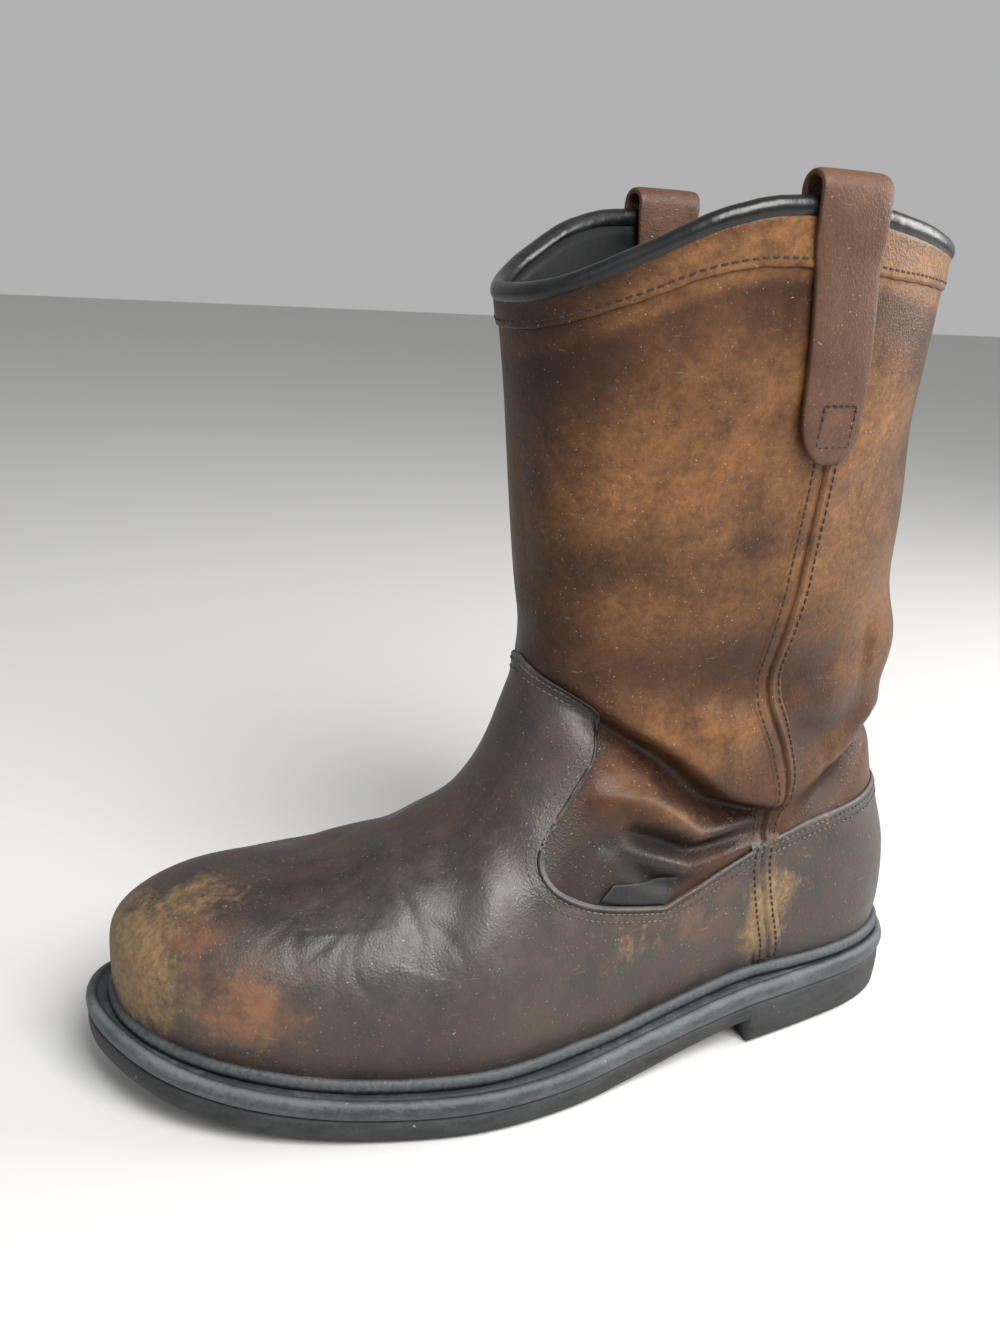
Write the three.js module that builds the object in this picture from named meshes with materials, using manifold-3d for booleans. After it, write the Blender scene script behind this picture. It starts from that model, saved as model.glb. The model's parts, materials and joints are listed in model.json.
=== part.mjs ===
// Left pull-on work boot, standing on its sole.
// Millimetres. +X towards the toe, +Y towards the wearer's outer side, +Z up.
// The origin is under the middle of the boot, on the floor.
import * as THREE from 'three';
import Module from 'manifold-3d';
import { mergeVertices } from 'three/addons/utils/BufferGeometryUtils.js';

// ---- Driving dimensions -------------------------------------------------------------------
const GAP = 0.3; // air between pieces that touch
const WALL = 3.0; // leather and lining together
const SOLE_FORE = 8.7; // rubber under the ball of the foot
const HEEL_RISE = 8.3; // how much thicker the sole is at the heel
const LEDGE_FORE = 15.6; // top of the welt ledge under the ball
const LEDGE_RISE = 9.1; // how much higher the ledge is at the heel
const BEAD_HIGH = 4.0; // bead between the ledge and the upper
const BEAD_WIDE = 3.6;
const TOE_SPRING = 14;
const SPRING_FROM = 55; // fore-and-aft place where the toe starts to lift
const SPRING_TO = 159;
const BREAST = -73; // front face of the heel
const ARCH_HIGH = 9.5; // underside of the shank, just in front of the heel
const ARCH_END = 6; // where the shank comes down to the floor
const INSOLE_THICK = 4;
const HEEL_TURN = THREE.MathUtils.degToRad(6.5); // heel and shaft are turned out from the X axis
const OUTER_LIFT = 2.5; // the collar is this much higher on the outer side than in the middle
const BINDING_WIDE = 5.6;
const BINDING_HIGH = 4.5;
const STRAP_WIDE = 26;
const STRAP_THICK = 2.6;
const STRAP_RISE = 11.5; // top of the strap over the cut edge of the collar
const STRAP_DOWN_OUT = 75; // length of the strap below the cut edge, outside
const STRAP_DOWN_IN = 44; // and inside
const STRAP_X = -56; // middle of the strap at the collar
const STRAP_LEAN = 0.13; // backwards, for each millimetre downwards
const LUG_DEEP = 2.6;
const LUG_GROOVE = 4.5;
const LUG_PITCH = 13;
const LUG_BORDER = 11; // solid rubber left round the lugs

const AROUND = 48; // points round each loop
const UPPER_ROWS = 22;

// Outline of the sole: heel back, outer side, toe, inner side.
const OUTLINE = [
  [-159, -12], [-155, 4], [-146, 17], [-128, 27], [-100, 34], [-60, 41.5], [-20, 49], [15, 56.5],
  [42, 58.5], [70, 54.5], [98, 47.5], [122, 37.5], [141, 23], [154, 3], [159, -16],
  [155, -33], [143, -47], [122, -56], [92, -60.5], [60, -59], [25, -50], [-15, -43.5],
  [-60, -46], [-100, -50], [-128, -48.5], [-147, -38], [-156, -26],
];
const TOE_POINT = 14; // index of the toe in OUTLINE
const CENTRE_Y = 4.3; // moves the outline's box onto the origin

// ---- Small helpers ------------------------------------------------------------------------
const clamp = THREE.MathUtils.clamp;
const ease = (t) => THREE.MathUtils.smoothstep(t, 0, 1);

// Smooth curve through the points (xs, ys) that never overshoots them.
function profile(xs, ys) {
  const last = xs.length - 1;
  const step = xs.slice(1).map((x, i) => x - xs[i]);
  const slope = step.map((h, i) => (ys[i + 1] - ys[i]) / h);
  const tangent = xs.map((_, i) => {
    if (i === 0) return slope[0];
    if (i === last) return slope[last - 1];
    const [a, b] = [slope[i - 1], slope[i]];
    if (a * b <= 0) return 0;
    const wa = 2 * step[i] + step[i - 1];
    const wb = step[i] + 2 * step[i - 1];
    return (wa + wb) / (wa / a + wb / b);
  });
  return (value) => {
    const x = clamp(value, xs[0], xs[last]);
    let i = 0;
    while (i < last - 1 && x > xs[i + 1]) i += 1;
    const h = step[i];
    const t = (x - xs[i]) / h;
    const s = 1 - t;
    return ys[i] * s * s * (1 + 2 * t) + ys[i + 1] * t * t * (3 - 2 * t)
      + h * t * s * (tangent[i] * s - tangent[i + 1] * t);
  };
}

// ---- Heights along the sole ---------------------------------------------------------------
const heelRise = (x) => ease((15 - x) / 95);
const spring = (x) => TOE_SPRING * clamp((x - SPRING_FROM) / (SPRING_TO - SPRING_FROM), 0, 1) ** 2;
const soleTop = (x) => SOLE_FORE + spring(x) + HEEL_RISE * heelRise(x);
const ledgeTop = (x) => LEDGE_FORE + spring(x) + LEDGE_RISE * heelRise(x);
const seat = (x) => ledgeTop(x) + GAP; // lower edge of the upper
const feather = (x) => seat(x) + BEAD_HIGH; // where the upper comes out of the bead
const underside = (x) => spring(x) + ARCH_HIGH * ease((ARCH_END - x) / (ARCH_END - BREAST));

// ---- The last: a foot form and a leg form, blended at the ankle ----------------------------
const footHalf = profile(
  [-150, -100, -70, -40, 0, 25, 45, 62, 100, 150],
  [33.5, 34, 34.5, 36.5, 41, 46.5, 49.5, 50, 49.5, 47.5],
);
const footMiddle = profile(
  [-152, -100, -40, 0, 25, 45, 62, 102, 136, 153],
  [-11, -7, 0.5, 4, 4, 2, -1, -7, -11.5, -15],
);
const ridge = profile(
  [-160, -60, 0, 18, 30, 45, 60, 80, 100, 125, 150],
  [100, 108, 108, 102, 94, 86, 80, 75.5, 73.5, 75, 74],
);
const legBack = profile(
  [20, 40, 60, 85, 110, 135, 165, 200, 235, 265, 300],
  [-152, -152, -151, -147, -142, -141, -136, -132, -129.5, -130, -132],
);
const legFront = profile(
  [20, 60, 80, 100, 125, 150, 170, 200, 235, 265, 300],
  [-40, -30, -14, 0, 10, 12, 15, 19, 23, 28, 33],
);
const legHalf = profile(
  [20, 40, 60, 80, 100, 125, 150, 200, 250, 300],
  [33, 34, 34, 33.5, 34, 36.5, 40, 47, 54, 57.5],
);
const legMiddle = profile([20, 80, 300], [-8, -8, -5]);
const collarHeight = profile(
  [-175, -128, -88, -52, -33, -17, 6, 30, 77],
  [283, 284, 289, 293, 292, 288, 276, 264, 258],
);
const TOE_LIMIT = 149.5;
const TOE_FROM = 58;
const HEEL_FROM = -100;
const GIRTH_OVER = 15; // the foot form is widest this far over the feather line
const SCALE = 45; // turns the forms' ratios into about a millimetre

const power = (value, exponent) => Math.abs(value) ** exponent;

function footForm(x, y, z) {
  const widest = feather(x) + GIRTH_OVER;
  const below = clamp((widest - z) / GIRTH_OVER, 0, 1);
  const half = footHalf(x) * (1 - 0.05 * below * below);
  const toe = Math.max((x - TOE_FROM) / (TOE_LIMIT - TOE_FROM), 0);
  const heel = Math.max((HEEL_FROM - x) / (HEEL_FROM - legBack(z)), 0);
  const plan = power((y - footMiddle(x)) / half, 2.35) + power(toe, 2.35) + power(heel, 2.35);
  const tall = z > widest ? (z - widest) / (ridge(x) - widest) : (widest - z) / 60;
  return ((plan ** (2.6 / 2.35) + power(tall, 2.6)) ** (1 / 2.6) - 1) * SCALE;
}

function legForm(x, y, z) {
  const back = legBack(z);
  const front = legFront(z);
  const dx = x - (back + front) / 2;
  const dy = y - legMiddle(z);
  const along = Math.cos(HEEL_TURN) * dx + Math.sin(HEEL_TURN) * dy;
  const across = Math.cos(HEEL_TURN) * dy - Math.sin(HEEL_TURN) * dx;
  const sum = power(along / ((front - back) / 2), 2.15) + power(across / legHalf(z), 2.15);
  return (sum ** (1 / 2.15) - 1) * SCALE;
}

// Below zero inside the boot. The blend is wide at the instep and tight at the heel.
function bootForm(x, y, z) {
  const foot = footForm(x, y, z);
  const leg = legForm(x, y, z);
  const blend = 4 + 34 * ease((x + 70) / 75);
  const near = Math.max(blend - Math.abs(foot - leg), 0) / blend;
  return Math.min(foot, leg) - near * near * blend / 4;
}

function outward(point) {
  const e = 0.4;
  const [x, y, z] = point;
  return new THREE.Vector3(
    bootForm(x + e, y, z) - bootForm(x - e, y, z),
    bootForm(x, y + e, z) - bootForm(x, y - e, z),
    bootForm(x, y, z + e) - bootForm(x, y, z - e),
  ).normalize();
}

const collar = (x, y) => collarHeight(x) + OUTER_LIFT * clamp((y + 5) / 55, -1, 1);

// ---- Skin of the boot by turn and height ---------------------------------------------------
// turn: 0 at the front, 0.25 on the outer side, 0.5 at the back, 0.75 on the inner side.
// height: 0 at the lower edge, 1 at the collar. Each point is found along a line that starts
// on the boot's inner spine. Spine and aim are [x, level], level being 250 at the collar.
const LEVELS = 250;
const STATIONS = [0, 0.1, 0.2, 0.3, 0.4, 0.5, 0.58, 0.66, 0.8, 1];
const SPINE_FRONT = [
  [60, 0], [60, 4], [60, 8], [58, 12], [45, 22], [10, 48], [-20, 85], [-38, 115], [-45, 170], [-50, 250],
];
const AIM_FRONT = [
  [152, 0], [152, 22], [135, 44], [100, 50], [62, 56], [36, 74], [22, 100], [17, 125], [22, 180], [30, 250],
];
const SPINE_BACK = [
  [-98, 0], [-98, 10], [-98, 20], [-98, 32], [-96, 46], [-92, 66], [-88, 92], [-80, 120], [-70, 180],
  [-62, 250],
];
const AIM_BACK = [
  [-152, 0], [-152, 11], [-152, 23], [-148, 36], [-143, 52], [-136, 72], [-132, 96], [-130, 124],
  [-126, 180], [-128, 250],
];
const track = (list) => [0, 1].map((k) => profile(STATIONS, list.map((p) => p[k])));
const [spineFront, aimFront, spineBack, aimBack] =
  [SPINE_FRONT, AIM_FRONT, SPINE_BACK, AIM_BACK].map(track);

function skin(turn, height) {
  const c = Math.cos(2 * Math.PI * turn);
  const s = Math.sin(2 * Math.PI * turn);
  const at = (pair) => new THREE.Vector2(pair[0](height), pair[1](height));
  const front = at(spineFront);
  const back = at(spineBack);
  const start = back.clone().lerp(front, (1 + c) / 2);
  const aim = c > 0 ? at(aimFront).sub(front) : at(aimBack).sub(back);
  aim.normalize().multiplyScalar(Math.abs(c));
  const middle = footMiddle(start.x) * (1 - height) + legMiddle(200) * height;
  const place = (t) => {
    const x = start.x + t * aim.x;
    const y = middle + t * s;
    const level = (start.y + t * aim.y) / LEVELS;
    return [x, y, seat(x) + (collar(x, y) - seat(x)) * level];
  };
  let low = 0;
  let high = 170;
  for (let i = 0; i < 34; i += 1) {
    const t = (low + high) / 2;
    if (bootForm(...place(t)) < 0) low = t;
    else high = t;
  }
  return place(low);
}

// A point of the skin moved outwards along its normal.
function offset(point, distance, level = false) {
  const n = outward(point);
  if (level) n.setZ(0).normalize();
  return [point[0] + n.x * distance, point[1] + n.y * distance, point[2] + n.z * distance];
}

// ---- Meshes from loops ----------------------------------------------------------------------
// Every loop runs the same way round, seen from above, and starts at the toe.
function solidFromTriangles(points, triangles) {
  const geometry = new THREE.BufferGeometry();
  const shifted = points.flatMap(([x, y, z]) => [x, y + CENTRE_Y, z]);
  geometry.setAttribute('position', new THREE.Float32BufferAttribute(shifted, 3));
  geometry.setIndex(triangles);
  return mergeVertices(geometry, 1e-3);
}

function joinLoops(count, a, b, triangles) {
  for (let i = 0; i < count; i += 1) {
    const j = (i + 1) % count;
    triangles.push(a + i, a + j, b + j, a + i, b + j, b + i);
  }
}

// Loops go up the outside and down the inside, and the last meets the first.
function ringSolid(loops) {
  const count = loops[0].length;
  const triangles = [];
  loops.forEach((_, k) => joinLoops(count, k * count, ((k + 1) % loops.length) * count, triangles));
  return solidFromTriangles(loops.flat(), triangles);
}

// Loops go from the bottom to the top. Both ends are closed by a ladder from side to side.
function plateSolid(loops) {
  const count = loops[0].length;
  const triangles = [];
  for (let k = 0; k + 1 < loops.length; k += 1) joinLoops(count, k * count, (k + 1) * count, triangles);
  const top = (loops.length - 1) * count;
  for (let i = 0; i < count / 2; i += 1) {
    const [a, b] = [i, i + 1];
    const [d, c] = [(count - i) % count, count - i - 1];
    if (i > 0) triangles.push(top + a, top + b, top + d, a, d, b);
    if (i < count / 2 - 1) triangles.push(top + b, top + c, top + d, b, d, c);
  }
  return solidFromTriangles(loops.flat(), triangles);
}

// ---- Outline of the sole as loops -----------------------------------------------------------
function outlinePoints(count) {
  const curve = new THREE.CatmullRomCurve3(
    OUTLINE.map(([x, y]) => new THREE.Vector3(x, y, 0)), true, 'catmullrom', 0.5,
  );
  const dense = curve.getPoints(OUTLINE.length * 40).slice(0, -1);
  const toe = TOE_POINT * 40;
  const spaced = (from, to, pieces) => {
    const run = [];
    for (let i = from; i <= to; i += 1) run.push(dense[i % dense.length]);
    const length = [0];
    for (let i = 1; i < run.length; i += 1) length.push(length[i - 1] + run[i].distanceTo(run[i - 1]));
    const picked = [];
    let k = 0;
    for (let i = 0; i < pieces; i += 1) {
      const target = (i / pieces) * length[length.length - 1];
      while (length[k + 1] < target) k += 1;
      const t = (target - length[k]) / (length[k + 1] - length[k]);
      picked.push(run[k].clone().lerp(run[k + 1], t));
    }
    return picked;
  };
  const outer = spaced(0, toe, count / 2).reverse();
  const inner = spaced(toe, dense.length, count / 2).reverse();
  // toe first, then the outer side to the heel, then the inner side back to the toe
  const closed = [...outer, ...inner];
  const start = closed.reduce((best, p, i) => (p.distanceTo(dense[toe]) < closed[best].distanceTo(dense[toe])
    ? i : best), 0);
  return [...closed.slice(start), ...closed.slice(0, start)];
}

const SOLE_LINE = outlinePoints(AROUND);

function soleLoop(inset, height) {
  return SOLE_LINE.map((p, i) => {
    const before = SOLE_LINE[(i + AROUND - 1) % AROUND];
    const after = SOLE_LINE[(i + 1) % AROUND];
    const along = after.clone().sub(before).normalize();
    const x = p.x - along.y * inset;
    const y = p.y + along.x * inset;
    return [x, y, height(x)];
  });
}

// ---- Pieces -----------------------------------------------------------------------------------
const wasm = await Module();
wasm.setup();

function toManifold(geometry) {
  const mesh = new wasm.Mesh({
    numProp: 3,
    vertProperties: new Float32Array(geometry.attributes.position.array),
    triVerts: new Uint32Array(geometry.index.array),
  });
  return new wasm.Manifold(mesh);
}

function fromManifold(solid) {
  const mesh = solid.getMesh();
  const geometry = new THREE.BufferGeometry();
  geometry.setAttribute('position', new THREE.BufferAttribute(mesh.vertProperties, 3));
  geometry.setIndex(new THREE.BufferAttribute(mesh.triVerts, 1));
  return geometry;
}

function blockGeometry(sizeX, sizeY, sizeZ, x, y, z, tilt = 0) {
  const box = new THREE.BoxGeometry(sizeX, sizeY, sizeZ);
  box.rotateY(tilt);
  box.translate(x, y + CENTRE_Y, z);
  box.deleteAttribute('normal');
  box.deleteAttribute('uv');
  return mergeVertices(box, 1e-4);
}

// Half width and middle of the sole at a fore-and-aft place.
function soleSpan(x) {
  const crossings = [];
  SOLE_LINE.forEach((p, i) => {
    const q = SOLE_LINE[(i + 1) % AROUND];
    if ((p.x - x) * (q.x - x) > 0 || p.x === q.x) return;
    crossings.push(p.y + (q.y - p.y) * (x - p.x) / (q.x - p.x));
  });
  return [Math.min(...crossings), Math.max(...crossings)];
}

function outsole() {
  const plate = plateSolid([
    soleLoop(2.6, underside),
    soleLoop(1.2, (x) => underside(x) + 1.6),
    soleLoop(0.8, soleTop),
  ]);
  const block = plateSolid([
    soleLoop(3.4, () => 0),
    soleLoop(1.8, () => 1.8),
    soleLoop(0.8, () => soleTop(BREAST) - 1),
  ]);
  const keep = blockGeometry(120, 140, 60, BREAST - 60, 0, 10);
  let solid = toManifold(plate).add(toManifold(block).intersect(toManifold(keep)));
  const groove = (x, slope) => {
    const [inner, outer] = soleSpan(x);
    const width = outer - inner - 2 * LUG_BORDER;
    return toManifold(blockGeometry(
      LUG_GROOVE, width, 2 * LUG_DEEP, x, (inner + outer) / 2, underside(x), -Math.atan(slope),
    ));
  };
  for (let x = 8; x < 142; x += LUG_PITCH) {
    solid = solid.subtract(groove(x, (underside(x + 1) - underside(x - 1)) / 2));
  }
  for (let x = BREAST - 14; x > -145; x -= LUG_PITCH + 3) {
    const [inner, outer] = soleSpan(x);
    const cut = blockGeometry(
      LUG_GROOVE, outer - inner - 2 * LUG_BORDER, 2 * LUG_DEEP, x, (inner + outer) / 2, 0,
    );
    solid = solid.subtract(toManifold(cut));
  }
  return fromManifold(solid);
}

// The welt ledge that runs all round under the upper.
function midsole() {
  const low = (x) => soleTop(x) + GAP;
  const part = (share) => (x) => low(x) + share * (ledgeTop(x) - low(x));
  return plateSolid([
    soleLoop(1.4, low),
    soleLoop(0.2, part(0.25)),
    soleLoop(0.2, part(0.65)),
    soleLoop(1.6, ledgeTop),
  ]);
}

const footLoop = (height) => Array.from({ length: AROUND }, (_, i) => skin(i / AROUND, height));

// Closed form of the lower edge, taken straight down so that the bead and insole can follow it.
function seatLoop(distance, lift) {
  return footLoop(0).map((point) => {
    const [x, y] = offset(point, distance, true);
    return [x, y, seat(x) + lift];
  });
}

function bead() {
  const clear = GAP + 0.25;
  return ringSolid([
    seatLoop(clear + BEAD_WIDE, 0),
    seatLoop(clear + BEAD_WIDE, BEAD_HIGH * 0.55),
    seatLoop(clear + BEAD_WIDE * 0.55, BEAD_HIGH),
    seatLoop(clear + 0.5, BEAD_HIGH),
    seatLoop(clear, 0),
  ]);
}

function insole() {
  return plateSolid([
    seatLoop(-WALL - 0.6, 0.1),
    seatLoop(-WALL - 0.6, INSOLE_THICK),
  ]);
}

function upper() {
  const outside = [];
  const inside = [];
  for (let k = 0; k <= UPPER_ROWS; k += 1) {
    const loop = footLoop(k / UPPER_ROWS);
    outside.push(loop);
    const flat = k === 0 || k === UPPER_ROWS;
    inside.unshift(loop.map((point) => offset(point, -WALL, flat)));
  }
  return ringSolid([...outside, ...inside]);
}

function collarBinding() {
  const edge = footLoop(1);
  const section = [];
  for (let k = 0; k < 8; k += 1) {
    const angle = Math.PI * (k / 4 - 0.375);
    section.push([Math.cos(angle) / Math.cos(Math.PI / 8), Math.sin(angle) / Math.cos(Math.PI / 8)]);
  }
  const loops = section.map(([across, up]) => edge.map((point) => {
    const [x, y, z] = offset(point, -WALL / 2 + 0.5 * BINDING_WIDE * across * Math.cos(Math.PI / 8), true);
    return [x, y, z + GAP + 0.5 * BINDING_HIGH * (1 + up * Math.cos(Math.PI / 8))];
  }));
  return ringSolid(loops);
}

// Side wall of the shaft at a fore-and-aft place and a height, side being 1 or -1.
function wallPoint(x, z, side) {
  let low = 0;
  let high = 90;
  for (let i = 0; i < 30; i += 1) {
    const t = (low + high) / 2;
    if (bootForm(x, side * t - 5, z) < 0) low = t;
    else high = t;
  }
  return [x, side * low - 5, z];
}

// A pull strap runs up the outside, stands over the collar as a loop and comes down inside.
function pullStrap(side) {
  const columns = 6;
  const half = STRAP_THICK / 2;
  const outer = GAP + 0.15 + half;
  const inner = -WALL - outer;
  const swell = (BINDING_WIDE - WALL) / 2;
  const radius = (outer - inner) / 2 + swell;
  const turn = STRAP_RISE - half - radius; // height of the loop's centre over the cut edge
  // [distance from the skin, height over the cut edge] along the middle of the strap
  const route = [];
  for (let k = 0; k <= 8; k += 1) route.push([outer, -STRAP_DOWN_OUT + (STRAP_DOWN_OUT - 12) * (k / 8)]);
  route.push([outer + swell * 0.7, -4], [outer + swell, 2]);
  for (let k = 0; k <= 8; k += 1) {
    const angle = Math.PI * (k / 8);
    route.push([-WALL / 2 + radius * Math.cos(angle), turn + radius * Math.sin(angle)]);
  }
  route.push([inner - swell, 2], [inner - swell * 0.7, -4]);
  for (let k = 0; k <= 4; k += 1) route.push([inner, -12 - (STRAP_DOWN_IN - 12) * (k / 4)]);
  const normals = route.map((_, i) => {
    const a = route[Math.max(i - 1, 0)];
    const b = route[Math.min(i + 1, route.length - 1)];
    return new THREE.Vector2(b[1] - a[1], a[0] - b[0]).normalize();
  });
  const place = (i, share, lift) => {
    const [away, over] = route[i];
    const n = normals[i];
    const tipRound = over < -STRAP_DOWN_OUT + 14 && away > 0
      ? Math.sqrt(1 - (1 - (over + STRAP_DOWN_OUT + 1) / 15) ** 2) : 1;
    const middle = STRAP_X + STRAP_LEAN * Math.min(over, 0);
    const x = middle + (share - 0.5) * STRAP_WIDE * (over < -14 ? 0.93 : 1) * tipRound;
    const edge = wallPoint(STRAP_X, 285, side);
    const cut = collar(STRAP_X, edge[1]);
    const [px, py, pz] = offset(wallPoint(x, Math.min(cut + over, cut), side), away + n.x * lift, true);
    return [px, py, pz + Math.max(over, 0) + n.y * lift];
  };
  const loops = route.map((_, i) => {
    const face = (lift) => Array.from({ length: columns + 1 }, (__, k) => place(i, k / columns, lift));
    return [...face(half), ...face(-half).reverse()];
  });
  const count = loops[0].length;
  const triangles = [];
  for (let k = 0; k + 1 < loops.length; k += 1) {
    joinLoops(count, k * count, (k + 1) * count, triangles);
  }
  const end = (loops.length - 1) * count;
  for (let k = 0; k < columns; k += 1) {
    const [a, b, c, d] = [k, k + 1, count - 2 - k, count - 1 - k];
    triangles.push(a, c, b, a, d, c, end + a, end + b, end + c, end + a, end + c, end + d);
  }
  if (side > 0) triangles.reverse(); // the two straps mirror each other
  return solidFromTriangles(loops.flat(), triangles);
}

// ---- Materials ----------------------------------------------------------------------------------
const finish = (color, roughness) => new THREE.MeshStandardMaterial({ color, roughness, metalness: 0 });
const tanLeather = finish('#8a5330', 0.55);
const bindingLeather = finish('#15161a', 0.3);
const strapLeather = finish('#6f4630', 0.6);
const rubber = finish('#34393b', 0.75);
const ledgeRubber = finish('#454b4d', 0.65);
const insoleFabric = finish('#6d6a66', 0.95);

const boot = new THREE.Group();
function addPiece(name, geometry, material) {
  const mesh = new THREE.Mesh(geometry, material);
  mesh.name = name;
  boot.add(mesh);
}

addPiece('outsole', outsole(), rubber);
addPiece('midsole', midsole(), ledgeRubber);
addPiece('bead', bead(), rubber);
addPiece('insole', insole(), insoleFabric);
addPiece('upper', upper(), tanLeather);
addPiece('collar_binding', collarBinding(), bindingLeather);
addPiece('pull_strap_outer', pullStrap(1), strapLeather);
addPiece('pull_strap_inner', pullStrap(-1), strapLeather);

export default boot;
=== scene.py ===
"""Left pull-on work boot: the looks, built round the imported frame.

Lengths in the working functions are millimetres; meshes are written in metres.
"""
import json

import bmesh
import bpy
import numpy as np
from bpy.props import FloatProperty, FloatVectorProperty, IntProperty, PointerProperty
from mathutils import Matrix

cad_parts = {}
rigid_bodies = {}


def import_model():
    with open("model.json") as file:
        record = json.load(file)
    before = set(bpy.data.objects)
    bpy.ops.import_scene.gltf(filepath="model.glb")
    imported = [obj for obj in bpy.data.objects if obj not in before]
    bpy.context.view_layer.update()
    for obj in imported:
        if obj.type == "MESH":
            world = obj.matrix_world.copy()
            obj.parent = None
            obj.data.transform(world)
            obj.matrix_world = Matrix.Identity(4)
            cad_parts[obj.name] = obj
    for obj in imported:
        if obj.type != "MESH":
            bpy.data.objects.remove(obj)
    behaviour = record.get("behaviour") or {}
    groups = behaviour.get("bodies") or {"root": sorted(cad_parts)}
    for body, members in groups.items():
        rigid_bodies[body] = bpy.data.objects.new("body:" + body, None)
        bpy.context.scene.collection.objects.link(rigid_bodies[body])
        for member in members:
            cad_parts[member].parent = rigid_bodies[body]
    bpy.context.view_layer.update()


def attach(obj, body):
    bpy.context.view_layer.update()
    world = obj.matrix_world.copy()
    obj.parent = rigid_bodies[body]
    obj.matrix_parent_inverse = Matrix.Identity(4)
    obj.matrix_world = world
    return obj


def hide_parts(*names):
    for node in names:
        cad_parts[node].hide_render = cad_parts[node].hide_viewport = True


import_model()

bl_info = {
    "name": "Pull-on work boot",
    "version": (1, 0, 0),
    "blender": (4, 5, 0),
    "location": "3D View > Sidebar > Work boot",
    "description": "Builds a worn pull-on work boot piece by piece round its frame",
    "category": "Add Mesh",
}

MM = 0.001

# ---- Sizes of the boot, in millimetres -------------------------------------------------------
GAP = 0.3
WALL = 3.0
SOLE_FORE = 8.7
HEEL_RISE = 8.3
LEDGE_FORE = 15.6
LEDGE_RISE = 9.1
BEAD_HIGH = 4.0
TOE_SPRING = 14.0
SPRING_FROM = 55.0
SPRING_TO = 159.0
BREAST = -73.0
ARCH_HIGH = 9.5
ARCH_END = 6.0
INSOLE_THICK = 4.0
HEEL_TURN = np.radians(6.5)
OUTER_LIFT = 2.5
STRAP_WIDE = 26.0
STRAP_THICK = 2.6
STRAP_RISE = 11.5
STRAP_DOWN_OUT = 75.0
STRAP_DOWN_IN = 44.0
STRAP_X = -56.0
STRAP_LEAN = 0.13
CENTRE_Y = 4.3
LEG_MIDDLE_Y = -5.0

# The sole from the back of the heel, by its outer side to the toe and by its inner side back
OUTLINE = [
    (-159, -12), (-155, 4), (-146, 17), (-128, 27), (-100, 34), (-60, 41.5), (-20, 49), (15, 56.5),
    (42, 58.5), (70, 54.5), (98, 47.5), (122, 37.5), (141, 23), (154, 3), (159, -16),
    (155, -33), (143, -47), (122, -56), (92, -60.5), (60, -59), (25, -50), (-15, -43.5),
    (-60, -46), (-100, -50), (-128, -48.5), (-147, -38), (-156, -26),
]
OUTLINE_STEPS = 40
TOE_CORNER = 14


def ease(t):
    t = np.clip(t, 0, 1)
    return t * t * (3 - 2 * t)


def unit(vectors):
    return vectors / np.linalg.norm(vectors, axis=-1, keepdims=True)


def profile(xs, ys):
    """Smooth curve through the points that never overshoots them."""
    xs = np.array(xs, float)
    ys = np.array(ys, float)
    step = np.diff(xs)
    slope = np.diff(ys) / step
    tangent = np.zeros(len(xs))
    tangent[0] = slope[0]
    tangent[-1] = slope[-1]
    for i in range(1, len(xs) - 1):
        a, b = slope[i - 1], slope[i]
        if a * b > 0:
            wa = 2 * step[i] + step[i - 1]
            wb = step[i] + 2 * step[i - 1]
            tangent[i] = (wa + wb) / (wa / a + wb / b)

    def value(x):
        x = np.clip(x, xs[0], xs[-1])
        i = np.clip(np.searchsorted(xs, x) - 1, 0, len(step) - 1)
        h = step[i]
        t = (x - xs[i]) / h
        s = 1 - t
        return (ys[i] * s * s * (1 + 2 * t) + ys[i + 1] * t * t * (3 - 2 * t)
                + h * t * s * (tangent[i] * s - tangent[i + 1] * t))
    return value


# ---- Heights along the sole ------------------------------------------------------------------
def spring(x):
    return TOE_SPRING * np.clip((x - SPRING_FROM) / (SPRING_TO - SPRING_FROM), 0, 1) ** 2


def heel_rise(x):
    return ease((15 - x) / 95)


def sole_top(x):
    return SOLE_FORE + spring(x) + HEEL_RISE * heel_rise(x)


def ledge_top(x):
    return LEDGE_FORE + spring(x) + LEDGE_RISE * heel_rise(x)


def seat(x):
    return ledge_top(x) + GAP


def feather(x):
    return seat(x) + BEAD_HIGH


def underside(x):
    return spring(x) + ARCH_HIGH * ease((ARCH_END - x) / (ARCH_END - BREAST))


# ---- The last: a foot form and a leg form, blended at the ankle ------------------------------
foot_half = profile([-150, -100, -70, -40, 0, 25, 45, 62, 100, 150],
                    [33.5, 34, 34.5, 36.5, 41, 46.5, 49.5, 50, 49.5, 47.5])
foot_middle = profile([-152, -100, -40, 0, 25, 45, 62, 102, 136, 153],
                      [-11, -7, 0.5, 4, 4, 2, -1, -7, -11.5, -15])
ridge = profile([-160, -60, 0, 18, 30, 45, 60, 80, 100, 125, 150],
                [100, 108, 108, 102, 94, 86, 80, 75.5, 73.5, 75, 74])
leg_back = profile([20, 40, 60, 85, 110, 135, 165, 200, 235, 265, 300],
                   [-152, -152, -151, -147, -142, -141, -136, -132, -129.5, -130, -132])
leg_front = profile([20, 60, 80, 100, 125, 150, 170, 200, 235, 265, 300],
                    [-40, -30, -14, 0, 10, 12, 15, 19, 23, 28, 33])
leg_half = profile([20, 40, 60, 80, 100, 125, 150, 200, 250, 300],
                   [33, 34, 34, 33.5, 34, 36.5, 40, 47, 54, 57.5])
leg_middle = profile([20, 80, 300], [-8, -8, -5])
collar_height = profile([-175, -128, -88, -52, -33, -17, 6, 30, 77],
                        [283, 284, 289, 293, 292, 288, 276, 264, 258])
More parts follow.
